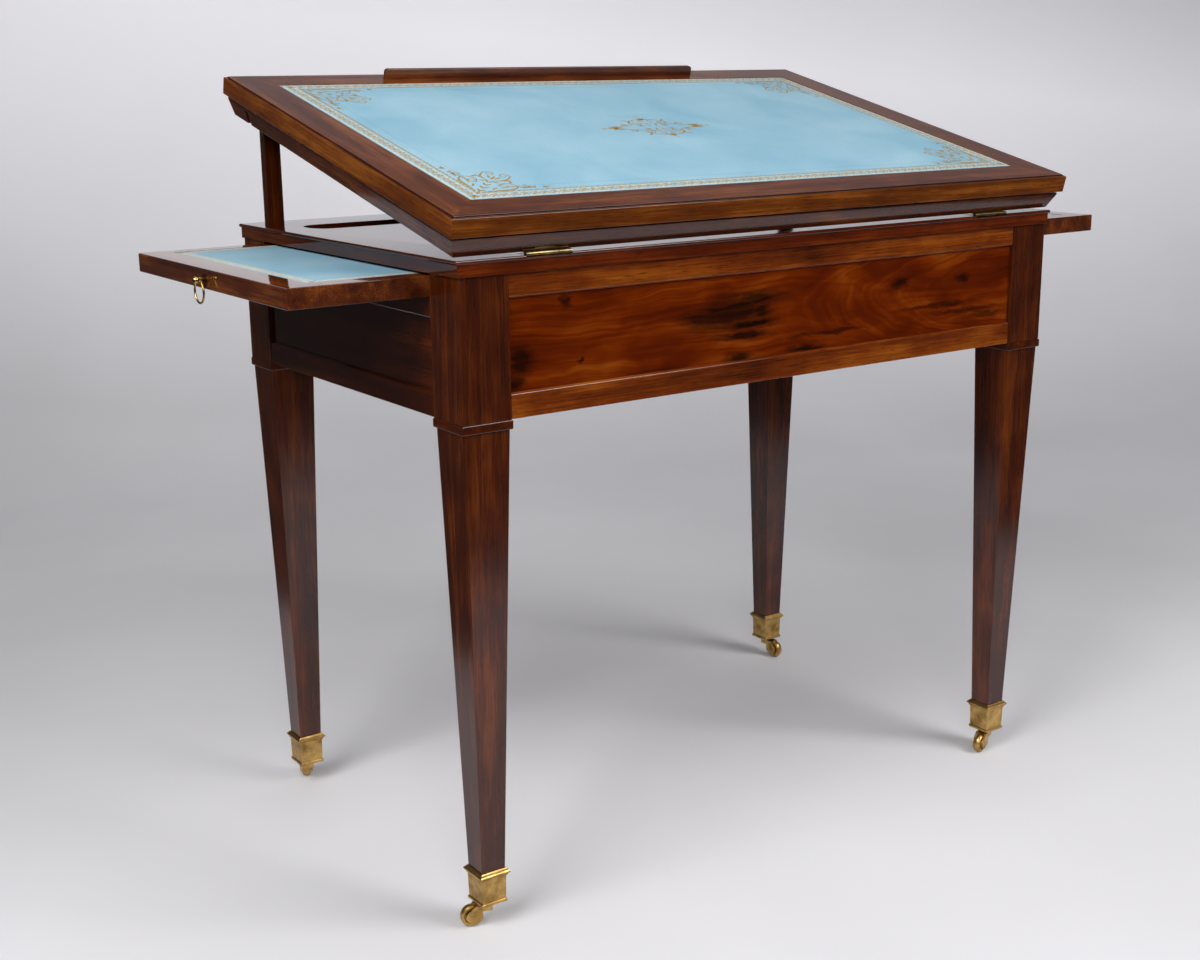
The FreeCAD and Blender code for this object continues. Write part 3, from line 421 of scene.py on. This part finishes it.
def crisp_rim(bm):
    """Square up the rounded rim of a border member, in the leaf's frame, and undercut the step above it.

    Every corner of the section moves along the mitre, so the four members still meet.
    """
    shelf = LEAF_HIGH.z - STEP_UP
    for vert in bm.verts:
        point = vert.co
        gaps = (point.x - LEAF_LOW.x, LEAF_HIGH.x - point.x, point.y - LEAF_LOW.y, LEAF_HIGH.y - point.y)
        inset = min(gaps)
        if inset < ROUND + NEAR and point.z < LEAF_LOW.z + ROUND + NEAR:
            target = 0.0
            point.z = LEAF_LOW.z
        elif inset < ROUND + NEAR and point.z > shelf - ROUND - NEAR:
            target = 0.0
            point.z = shelf
        elif abs(inset - STEP_IN) < NEAR and point.z > shelf - NEAR:
            top = point.z > shelf + NEAR
            target = UNDERCUT_TOP_IN if top else UNDERCUT_FOOT_IN
            point.z = LEAF_HIGH.z if top else shelf - UNDERCUT_DEPTH
        else:
            continue
        move = target - inset
        for axis, (low_gap, high_gap) in enumerate((gaps[:2], gaps[2:])):
            if low_gap < inset + NEAR:
                point[axis] += move
            if high_gap < inset + NEAR:
                point[axis] -= move


def flange_groove(bm):
    """Cut a scratched groove round the sloping upper face of each shoe's flange."""
    top = max(vert.co.z for vert in bm.verts)
    heights = [top - FLANGE_SLOPE * share for share in GROOVE_SHARES]
    for height in heights:
        bmesh.ops.bisect_plane(bm, geom=bm.verts[:] + bm.edges[:] + bm.faces[:], plane_co=(0, 0, height),
                               plane_no=(0, 0, 1), dist=SAME)
    for vert in bm.verts:
        if abs(vert.co.z - heights[1]) > SAME:
            continue
        reach = max(abs(abs(vert.co.x) - FOOT.x), abs(abs(vert.co.y) - FOOT.y))
        if reach > FOOT_HALF + FLANGE_OUT:
            vert.co.z -= GROOVE_DEPTH


def by_slope(normal):
    """Which of a border's three finishes a face has: flat; upright, in lighter tones as painted light; or
    nearly upright, the undercut's face, in near-black painted shade.
    """
    lie = abs(normal.z)
    if lie < UPRIGHT:
        return 1
    return 2 if lie < NEARLY_UPRIGHT else 0


def by_side(normal):
    """Which of the carcass top's finishes a face has: flat, upright on a long side, or upright at an end."""
    if abs(normal.z) > NEARLY_UPRIGHT:
        return 0
    return 1 if abs(normal.y) > abs(normal.x) else 2


def softened(node, materials, width, place=LEVEL, shaped=None, finish_of=by_slope):
    """Copy of a node with worn arrises; its mitred ends stay tight and crisp.

    Where it has several materials, finish_of tells from a face's normal which one the face has.
    """
    bm = bmesh.new()
    bm.from_mesh(frame["nodes"][node].data)
    bmesh.ops.remove_doubles(bm, verts=bm.verts, dist=WELD)
    if shaped:
        bmesh.ops.transform(bm, matrix=place.inverted(), verts=bm.verts)
        shaped(bm)
        bmesh.ops.transform(bm, matrix=place, verts=bm.verts)
        bmesh.ops.remove_doubles(bm, verts=bm.verts, dist=WELD)
        bmesh.ops.dissolve_degenerate(bm, dist=WELD, edges=bm.edges)
    bmesh.ops.dissolve_limit(bm, angle_limit=FLAT, verts=bm.verts, edges=bm.edges)
    turn = place.to_3x3().inverted()
    weights = bm.edges.layers.float.new("bevel_weight_edge")
    for edge in bm.edges:
        if len(edge.link_faces) != 2 or edge.calc_face_angle(0.0) < SHARP:
            continue
        sides = [turn @ face.normal for face in edge.link_faces]
        mitred = any(abs(abs(n.x) - abs(n.y)) < SQUARE and abs(n.z) < SQUARE for n in sides)
        edge.smooth = not mitred
        edge[weights] = 0.0 if mitred else 1.0
    for face in bm.faces:
        face.smooth = True
        if len(materials) > 1:
            face.material_index = finish_of(turn @ face.normal)
    mesh = bpy.data.meshes.new(node + "_softened")
    bm.to_mesh(mesh)
    bm.free()
    mesh.attributes.remove(mesh.attributes["custom_normal"])
    for material in materials:
        mesh.materials.append(material)
    piece = link(node + "_softened", mesh)
    arris = piece.modifiers.new("worn_arris", "BEVEL")
    arris.limit_method = "WEIGHT"
    arris.width = width
    arris.segments = 2
    arris.harden_normals = True
    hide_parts(node)
    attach(piece, BODY_OF[node])


BORDER_ARRIS = 1.0 * MM
LEG_ARRIS = 0.9 * MM
HANDLED_ARRIS = 0.8 * MM
TOP_ARRIS = 0.6 * MM
RAIL_ARRIS = 0.5 * MM
SHOE_ARRIS = 0.3 * MM
CORNERS = ("front_left", "front_right", "back_left", "back_right")
LONG_BORDER = [mahogany_leaf_long, painted_light_edge_long, painted_shade_quirk]
SHORT_BORDER = [mahogany_leaf_short, painted_light_edge_short, painted_shade_quirk]
TOP_AND_LIPS = [mahogany_top, mahogany_lip_long, mahogany_lip_short]
for corner in CORNERS:
    softened("leg_" + corner, [mahogany_leg], LEG_ARRIS)
for end in ("front", "back"):
    softened(end + "_top_rail", [mahogany_rail], RAIL_ARRIS)
    softened(end + "_bottom_rail", [mahogany_rail], HANDLED_ARRIS)
    softened("underframe_" + end, [mahogany_leaf_long], HANDLED_ARRIS, LEAF)
    softened("border_" + end, LONG_BORDER, BORDER_ARRIS, LEAF, crisp_rim)
for side in ("left", "right"):
    softened(side + "_top_rail", [mahogany_side], RAIL_ARRIS)
    softened(side + "_bottom_rail", [mahogany_side], RAIL_ARRIS)
    softened("underframe_" + side, [mahogany_leaf_short], HANDLED_ARRIS, LEAF)
    softened("border_" + side, SHORT_BORDER, BORDER_ARRIS, LEAF, crisp_rim)
    softened("slide_" + side, [mahogany_slide], HANDLED_ARRIS)
    softened("post_" + side, [mahogany_leg], TOP_ARRIS)
softened("book_ledge", [mahogany_leaf_long], HANDLED_ARRIS, LEAF)
softened("carcass_top", TOP_AND_LIPS, TOP_ARRIS, finish_of=by_side)
softened("leg_shoes", [brass_cast], SHOE_ARRIS, LEVEL, flange_groove)


# Solids that keep their shape


def coat(material, *nodes):
    """Give nodes that keep their shape a finished material."""
    for node in nodes:
        for held in frame["nodes"][node].material_slots:
            held.material = material


coat(mahogany_flame, "front_panel")
coat(mahogany_rail, "back_panel")
coat(mahogany_side, "left_panel", "right_panel", "leg_collars")
coat(oak_long, "slide_runners", "leaf_core")
coat(oak_cross, "slide_stop")
for corner in CORNERS:
    coat(brass_cast, "fork_" + corner, "axle_" + corner, "wheel_" + corner)
coat(brass_hinge, "hinge_plates_fixed", "hinge_plates_leaf", "hinge_pins")
for side in ("left", "right"):
    coat(brass_knob, "pull_knob_" + side)
    coat(brass_bright, "pull_ring_" + side)
    coat(brass_hinge, "post_plate_" + side)


# Leather linings, laid out in millimetres on the leather's own plane

# Sides of a field: quarter turns from the near side, and the axes along and across each side
SIDES = ((0, 0, 1), (1, 1, 0), (2, 0, 1), (3, 1, 0))
LEATHER_PLAY = 0.05
RIM_WIDTH = 1.6
RIM_PRESSED = (0.35, 0.06)


def field_place(node, place):
    """Frame at the middle of a leather's upper face, its two half sizes and its thickness in millimetres."""
    low, high = extent(node, place)
    middle = (low + high) / 2
    at = place @ Matrix.Translation((middle.x, middle.y, high.z)) @ Matrix.Scale(MM, 4)
    half = ((high.x - low.x) / 2 / MM, (high.y - low.y) / 2 / MM)
    return at, half, (high.z - low.z) / MM


def to_piece(name, bm, at, materials, body):
    """Finish a bmesh drawn in millimetres as a piece in its place."""
    bmesh.ops.transform(bm, matrix=at, verts=bm.verts)
    mesh = bpy.data.meshes.new(name)
    bm.to_mesh(mesh)
    bm.free()
    for material in materials:
        mesh.materials.append(material)
    piece = link(name, mesh)
    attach(piece, body)
    return piece


def rectangle(half, inset):
    """A flat face of a field's shape, drawn in from its edge."""
    bm = bmesh.new()
    bmesh.ops.create_grid(bm, x_segments=1, y_segments=1, size=1.0)
    bmesh.ops.scale(bm, vec=(half[0] - inset, half[1] - inset, 1), verts=bm.verts)
    return bm


def lining(node, place):
    """Leather glued in its sunk field, with its rim pressed down into the corner."""
    at, half, thick = field_place(node, place)
    bm = rectangle(half, LEATHER_PLAY)
    for press in RIM_PRESSED:
        outer = max(bm.faces, key=lambda f: f.calc_area())
        made = bmesh.ops.inset_region(bm, faces=[outer], thickness=RIM_WIDTH, depth=0.0,
                                      use_even_offset=True, use_boundary=True)
        border = {vert for face in made["faces"] for vert in face.verts}
        inner = max(bm.faces, key=lambda f: f.calc_area())
        for vert in border.difference(inner.verts):
            vert.co.z = -press
    deep = bmesh.ops.extrude_face_region(bm, geom=bm.faces[:])
    for vert in [g for g in deep["geom"] if isinstance(g, bmesh.types.BMVert)]:
        vert.co.z = -thick
    bmesh.ops.recalc_face_normals(bm, faces=bm.faces)
    piece = to_piece(node + "_skin", bm, at, [leather], BODY_OF[node])
    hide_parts(node)
    return piece, (2 * half[0] * MM, 2 * half[1] * MM)


# Gold tooling, drawn as flat ribbons about a twentieth of a millimetre above the leather


def join(bm, part, at, index):
    """Add a drawn shape to a bmesh, in a place and with a material."""
    drawn = bpy.data.meshes.new("drawn")
    part.to_mesh(drawn)
    drawn.transform(at)
    count = len(bm.faces)
    bm.from_mesh(drawn)
    bm.faces.ensure_lookup_table()
    for face in bm.faces[count:]:
        face.material_index = index
    bpy.data.meshes.remove(drawn)


def fillet_line(bm, half, inset, width, lift, index):
    """Flat band that runs round a field, from an inset inwards."""
    part = rectangle(half, inset)
    made = bmesh.ops.inset_region(part, faces=part.faces[:], thickness=width, depth=0.0, use_even_offset=True,
                                  use_boundary=True)
    inner = [face for face in part.faces if face not in made["faces"]]
    bmesh.ops.delete(part, geom=inner, context="FACES")
    join(bm, part, Matrix.Translation((0, 0, lift)), index)
    part.free()


BOLD = 1.35
SPRAY = Matrix.Scale(1.2, 4)


def strokes(lines):
    """Shape of several tool strokes: each a list of x, y and half width in millimetres.

    The real lines are finer; they are drawn bolder so that they show.
    """
    curve = bpy.data.curves.new("strokes", "CURVE")
    curve.dimensions = "3D"
    curve.twist_mode = "Z_UP"
    curve.extrude = 1.0
    curve.resolution_u = 3
    for line in lines:
        spline = curve.splines.new("NURBS")
        spline.points.add(len(line) - 1)
        for point, (x, y, half) in zip(spline.points, line):
            point.co = (x, y, 0, 1)
            point.radius = half * BOLD
            point.tilt = math.pi / 2
        spline.order_u = 3
        spline.use_endpoint_u = True
    holder = link("strokes", curve)
    mesh = bpy.data.meshes.new_from_object(holder)
    bpy.data.objects.remove(holder)
    bpy.data.curves.remove(curve)
    shape = bmesh.new()
    shape.from_mesh(mesh)
    bpy.data.meshes.remove(mesh)
    bmesh.ops.reverse_faces(shape, faces=[face for face in shape.faces if face.normal.z < 0])
    return shape


def curl(x, y, radius, start_angle, turns, hand, half):
    """Spiral stroke that winds in on a centre; angles in degrees."""
    steps = max(5, int(turns * 8))
    line = []
    for i in range(steps + 1):
        t = i / steps
        angle = math.radians(start_angle) + hand * t * turns * math.tau
        reach = radius * (1 - 0.8 * t)
        line.append((x + reach * math.cos(angle), y + reach * math.sin(angle), half * (1.1 - 0.5 * t)))
    return line


def leaf_stroke(x, y, angle, length, half):
    """Pointed leaf along an angle."""
    dx = math.cos(math.radians(angle)) * length
    dy = math.sin(math.radians(angle)) * length
    shape = ((0.0, 0.25), (0.35, 1.0), (0.6, 0.9), (1.0, 0.1))
    return [(x + dx * t, y + dy * t, half * wide) for t, wide in shape]


def fleuron(x, y, angle, size):
    """Small flower: five petals in a fan and a bud beyond them."""
    fan = ((0, 1.0), (36, 0.75), (-36, 0.75), (80, 0.5), (-80, 0.5))
    lines = [leaf_stroke(x, y, angle + turn, size * long, size * 0.12) for turn, long in fan]
    a = math.radians(angle)
    tip = (x + 1.1 * size * math.cos(a), y + 1.1 * size * math.sin(a))
    lines.append(leaf_stroke(*tip, angle, size * 0.3, size * 0.1))
    return lines


def mirrored(lines, sx, sy):
    """Strokes turned over in x, in y or in both."""
    return [[(sx * x, sy * y, half) for x, y, half in line] for line in lines]


def swapped(lines):
    """Strokes turned over on the diagonal."""
    return [[(y, x, half) for x, y, half in line] for line in lines]


def vine_repeat(pitch, depth):
    """One repeat of the pale lace roll: a running wave with a curl and a leaf in each hollow."""
    mid = depth / 2
    wave = [(0, mid, 0.4), (pitch * 0.25, depth * 0.85, 0.55), (pitch * 0.5, mid, 0.4),
            (pitch * 0.75, depth * 0.15, 0.55), (pitch, mid, 0.4)]
    return [wave,
            curl(pitch * 0.25, depth * 0.35, depth * 0.22, 90, 0.9, -1, 0.5),
            curl(pitch * 0.75, depth * 0.65, depth * 0.22, 270, 0.9, -1, 0.5),
            leaf_stroke(pitch * 0.45, depth * 0.9, -15, pitch * 0.35, 0.8),
            leaf_stroke(pitch * 0.95, depth * 0.1, 15, pitch * 0.35, 0.8)]


def point_repeat(pitch, depth):
    """One repeat of the inner gold edging: a scallop with a bead and a pointed tip."""
    scallop = [(0, 0, 0.35), (pitch * 0.2, depth * 0.75, 0.4), (pitch * 0.5, depth, 0.5),
               (pitch * 0.8, depth * 0.75, 0.4), (pitch, 0, 0.35)]
    return [scallop, leaf_stroke(pitch * 0.5, depth * 0.1, 90, depth * 0.7, 0.75)]


def run_roll(bm, half, pitch, inset, repeat, depth, lift, index):
    """Repeat a roll along the four sides of a field, in whole repeats."""
    for quarter, along, across in SIDES:
        length = 2 * (half[along] - inset)
        count = max(4, round(length / pitch))
        step = length / count
        unit = strokes(repeat(step, depth))
        spin = Matrix.Rotation(quarter * math.pi / 2, 4, "Z")
        for i in range(count):
            place = Matrix.Translation((inset - half[along] + i * step, inset - half[across], lift))
            join(bm, unit, spin @ place, index)
        unit.free()


def corner_spray():
    """Corner ornament, drawn from the corner along +x and +y: leaves on the diagonal between two arches."""
    side_arch = [
        [(22, 17, 0.4), (33, 18.5, 0.8), (46, 17.5, 1.3), (58, 20, 0.8), (63, 27, 0.4)],
        [(63, 27, 0.4), (60, 35, 0.6), (51, 37, 0.6), (46, 31, 0.4)],
        curl(51, 31, 6, 150, 1.1, 1, 0.5),
        [(44, 24, 0.35), (54, 27, 0.6), (66, 25, 0.6), (76, 20, 0.35)],
        curl(70, 27, 4.5, 260, 1.1, 1, 0.5),
        leaf_stroke(63, 22, 8, 15, 1.2),
        leaf_stroke(60, 35, 62, 8, 1.2),
        leaf_stroke(50, 37, 120, 7, 1.1),
        leaf_stroke(34, 22, 30, 9, 1.0),
        leaf_stroke(76, 21, 60, 6, 1.0),
    ]
    wing = [
        [(47, 44, 0.4), (57, 43, 0.8), (66, 47, 0.8), (72, 55, 0.4)],
        curl(66, 56, 6, 0, 1.1, 1, 0.5),
        leaf_stroke(57, 43, -8, 9, 1.0),
        leaf_stroke(52, 49, 22, 11, 1.0),
    ]
    stem = [leaf_stroke(15, 15, 45, 9, 0.9), leaf_stroke(48, 48, 45, 14, 1.0)]
    for place, long in ((20, 8), (27, 9), (34, 9), (41, 8)):
        stem.append(leaf_stroke(place, place, 71, long, 1.0))
        stem.append(leaf_stroke(place, place, 19, long, 1.0))
    single = fleuron(86, 21, 20, 6)
    half = side_arch + wing + single
    return half + swapped(half) + stem


def centre_lozenge():
    """Middle ornament: a lozenge of paired scrolls with a dense flower at each end."""
    quarter = [
        [(0, 33, 0.5), (10, 33, 0.8), (22, 28, 0.8), (30, 20, 0.6), (28, 12, 0.4)],
        [(28, 12, 0.4), (38, 9, 0.7), (50, 5, 0.7), (60, 0, 0.4)],
        [(0, 15, 0.4), (10, 17, 0.7), (18, 12, 0.7), (20, 4, 0.4)],
        curl(20, 19, 8, 60, 1.3, -1, 0.7),
        curl(42, 12, 4.5, 250, 1.2, 1, 0.5),
        curl(8, 25, 5, 90, 1.1, 1, 0.6),
        leaf_stroke(25, 26, 40, 11, 1.3),
        leaf_stroke(36, 10, 55, 9, 1.1),
        leaf_stroke(12, 6, 15, 13, 1.5),
        leaf_stroke(3, 4, 62, 11, 1.2),
        leaf_stroke(50, 4, 20, 10, 1.1),
    ]
    lines = []
    for sx, sy in ((1, 1), (-1, 1), (1, -1), (-1, -1)):
        lines += mirrored(quarter, sx, sy)
    for angle, reach, size in ((0, 58, 17), (180, 58, 17), (90, 31, 12), (270, 31, 12)):
        a = math.radians(angle)
        lines += fleuron(reach * math.cos(a), reach * math.sin(a), angle, size)
    return lines


# Tooled lines and rolls of the leaf, in millimetres: insets from the leather's edge, widths and pitches
OUTER_LINE_IN = 1.7
OUTER_LINE = 1.3
BAND_IN = 3.4
BAND = 11.6
VINE_IN = 3.6
VINE_PITCH = 12
VINE_DEPTH = 11
INNER_LINE_ON = 11.8
INNER_LINE = 0.6
POINT_PITCH = 7
POINT_DEPTH = 4
BLIND_LINE_IN = 33.0
BLIND_LINE = 0.8
# Heights above the leather, so that what crosses never lies in one plane
BAND_LIFT = 0.03
INNER_LIFT = 0.04
ROLL_LIFT = 0.05
ORNAMENT_LIFT = 0.06
# Order of the finishes in a field's tooling
PALE, LACE, VINE, BLIND = range(4)


def tooling(node, place, scale, ornaments):
    """Gold tooling of one leather field, at a share of the leaf's scale.

    A field without ornaments in its corners and its middle has its rolls in pale gold.
    """
    at, half, _ = field_place(node, place)
    bm = bmesh.new()
    fillet_line(bm, half, OUTER_LINE_IN, OUTER_LINE, ROLL_LIFT, PALE)
    fillet_line(bm, half, BAND_IN, BAND * scale, BAND_LIFT, LACE)
    run_roll(bm, half, VINE_PITCH * scale, VINE_IN, vine_repeat, VINE_DEPTH * scale, ROLL_LIFT, VINE)
    inner = VINE_IN + INNER_LINE_ON * scale
    fillet_line(bm, half, inner, INNER_LINE, INNER_LIFT, PALE)
    points_in = inner + INNER_LINE
    run_roll(bm, half, POINT_PITCH * scale, points_in, point_repeat, POINT_DEPTH * scale, ROLL_LIFT, VINE)
    if ornaments:
        fillet_line(bm, half, BLIND_LINE_IN, BLIND_LINE, BAND_LIFT, BLIND)
        spray = strokes(corner_spray())
        for quarter, along, across in SIDES:
            corner_at = Matrix.Translation((-half[along], -half[across], ORNAMENT_LIFT)) @ SPRAY
            join(bm, spray, Matrix.Rotation(quarter * math.pi / 2, 4, "Z") @ corner_at, VINE)
        spray.free()
        lozenge = strokes(centre_lozenge())
        join(bm, lozenge, Matrix.Translation((0, 0, ORNAMENT_LIFT)), VINE)
        lozenge.free()
    rolls = gilding_gold if ornaments else gilding_pale
    finishes = [gilding_pale, gilding_lace, rolls, leather_blind]
    return to_piece(node + "_tooling", bm, at, finishes, BODY_OF[node])


def leather_field(node, place, scale, ornaments):
    """A field lined with leather and tooled in gold."""
    skin, cut = lining(node, place)
    gold = tooling(node, place, scale, ornaments)


leather_field("leaf_leather", LEAF, 1.0, True)
for side in ("left", "right"):
    leather_field("slide_leather_" + side, LEVEL, 0.6, False)


# Studio


CAMERA_AT = (-1.21754, -1.61753, 0.91410)
FOCAL_PIXELS = 1610.06
PHOTO_WIDTH = 1200
SENSOR_MM = 36


def photo_camera():
    """Camera at the place and angle of the photograph; its sensor covers the photograph's width."""
    yaw = math.radians(35.055)
    pitch = math.radians(-14.333)
    roll = math.radians(-0.628)
    ahead = Vector((math.sin(yaw) * math.cos(pitch), math.cos(yaw) * math.cos(pitch), math.sin(pitch)))
    level = Vector((math.cos(yaw), -math.sin(yaw), 0))
    upright = level.cross(ahead)
    right = level * math.cos(roll) + upright * math.sin(roll)
    above = upright * math.cos(roll) - level * math.sin(roll)
    lens = bpy.data.cameras.new("photo_camera")
    lens.sensor_fit = "HORIZONTAL"
    lens.sensor_width = SENSOR_MM
    lens.lens = FOCAL_PIXELS / PHOTO_WIDTH * SENSOR_MM
    lens.clip_end = 50
    camera = link("photo_camera", lens)
    turn = Matrix((right, above, -ahead)).transposed().to_4x4()
    camera.matrix_world = Matrix.Translation(CAMERA_AT) @ turn
    bpy.context.scene.camera = camera


def drawn_on(bm, made, shift):
    """Move what an extrusion has just made, and give its free edge."""
    ends = [g for g in made["geom"] if isinstance(g, bmesh.types.BMVert)]
    bmesh.ops.translate(bm, vec=shift, verts=ends)
    return [g for g in made["geom"] if isinstance(g, bmesh.types.BMEdge) and all(v in ends for v in g.verts)]


def studio_sweep():
    """Pale matt paper that lies under the table and curves up into a wall behind it, made brighter above the
    floor by painted light.
    """
    made, tree, shader, at = start("studio_paper")
    tone = add(tree, "ShaderNodeTexNoise", {"Vector": at, "Scale": 1 / 700, "Detail": 3.0}).outputs[0]
    colour = add(tree, "ShaderNodeValToRGB", {"Fac": tone},
                 stops=[(0.3, "#d7d6d9"), (0.7, "#e0dfe2")]).outputs[0]
    tree.links.new(colour, shader.inputs["Base Color"])
    # Painted light in place of a lamp on the wall: emission from 0.14 m above the floor in the middle, higher
    # on the left and lower on the right
    rise = add(tree, "ShaderNodeVectorMath", {0: at, 1: (0.12, 0, 1)},
               operation="DOT_PRODUCT").outputs["Value"]
    rise = add(tree, "ShaderNodeMapRange", {"Value": rise, "From Max": 2700.0}).outputs[0]
    painted_glow_stops = [(0.05, "#000000"), (0.18, "#757477"), (0.31, "#9a999e"), (0.42, "#aeadb2"), (0.57, "#929196"),
             (0.85, "#2c2c2d")]
    painted_glow = add(tree, "ShaderNodeValToRGB", {"Fac": rise}, stops=painted_glow_stops).outputs[0]
    tree.links.new(painted_glow, shader.inputs["Emission Color"])
    shader.inputs["Emission Strength"].default_value = 1.0
    shader.inputs["Roughness"].default_value = 0.75
    shader.inputs["Specular IOR Level"].default_value = 0.25
    left, right, front, back = -1.4, 5.0, -1.1, 1.6
    bend = 0.9
    height = 2.3
    quarter = math.radians(90)
    turned = Matrix.Rotation(math.radians(-20), 3, "Z")
    bm = bmesh.new()
    edge = bm.edges.new((bm.verts.new((left, front, 0)), bm.verts.new((right, front, 0))))
    lip = drawn_on(bm, bmesh.ops.extrude_edge_only(bm, edges=[edge]), (0, back - front, 0))
    curve = bmesh.ops.spin(bm, geom=lip, cent=(0, back, bend), axis=(1, 0, 0), angle=quarter, steps=18)
    lip = [g for g in curve["geom_last"] if isinstance(g, bmesh.types.BMEdge)]
    drawn_on(bm, bmesh.ops.extrude_edge_only(bm, edges=lip), (0, 0, height - bend))
    bmesh.ops.recalc_face_normals(bm, faces=bm.faces)
    # Trimmed beside the table on the right, turned towards the camera and trimmed on the left
    bmesh.ops.bisect_plane(bm, geom=bm.verts[:] + bm.edges[:] + bm.faces[:], plane_co=(0.9, front, 0),
                           plane_no=(1.7, -1.25, 0), clear_outer=True)
    bmesh.ops.rotate(bm, cent=(0, 0, 0), matrix=turned, verts=bm.verts)
    bmesh.ops.bisect_plane(bm, geom=bm.verts[:] + bm.edges[:] + bm.faces[:], plane_co=(-0.97, -0.2, 0),
                           plane_no=(-3.0, 0.75, 0), clear_outer=True)
    for face in bm.faces:
        face.smooth = True
    mesh = bpy.data.meshes.new("studio_sweep")
    bm.to_mesh(mesh)
    bm.free()
    mesh.materials.append(made)
    link("studio_sweep", mesh)


# Soft boxes: where each stands, where it aims and its width in metres, its watts and its spread in degrees
SOFT_BOXES = {
    "soft_box_left": ((-2.3, -0.8, 2.5), (-0.3, 0.1, 0), 1.6, 26, 110),
    "soft_box_right": ((1.3, -2.3, 2.6), (0.2, -0.6, 0.2), 1.5, 26.5, 110),
    "soft_box_front": ((-1.7, -2.5, 2.0), (-0.1, -0.3, 0.3), 1.2, 16, 140),
    "soft_box_over": ((0, 0.2, 3.2), (0, 0.2, 0), 2.0, 10, 140),
}


def soft_box(name, place, aim, size, power, spread):
    """Square soft box of neutral light, aimed at a point, with its beam's spread in degrees."""
    lamp = bpy.data.lights.new(name, "AREA")
    lamp.shape = "SQUARE"
    lamp.size = size
    lamp.energy = power
    lamp.spread = math.radians(spread)
    way = Vector(aim) - Vector(place)
    turn = way.to_track_quat("-Z", "Y").to_matrix().to_4x4()
    link(name, lamp).matrix_world = Matrix.Translation(place) @ turn


def studio_light():
    """Soft boxes round the camera and over the table; the dim room looks pale to the eye."""
    world = bpy.data.worlds.new("studio_world")
    world.use_nodes = True
    tree = world.node_tree
    seen = add(tree, "ShaderNodeLightPath").outputs["Is Camera Ray"]
    room = tree.nodes["Background"]
    room.inputs["Color"].default_value = linear("#d2d1d4")
    fill = 0.07
    strength = add(tree, "ShaderNodeMapRange", {"Value": seen, "To Min": fill, "To Max": 1.0}).outputs[0]
    tree.links.new(strength, room.inputs["Strength"])
    bpy.context.scene.world = world
    for name, settings in SOFT_BOXES.items():
        soft_box(name, *settings)
    bpy.context.scene.view_settings.view_transform = "Standard"
    bpy.context.scene.view_settings.look = "None"


photo_camera()
studio_sweep()
studio_light()
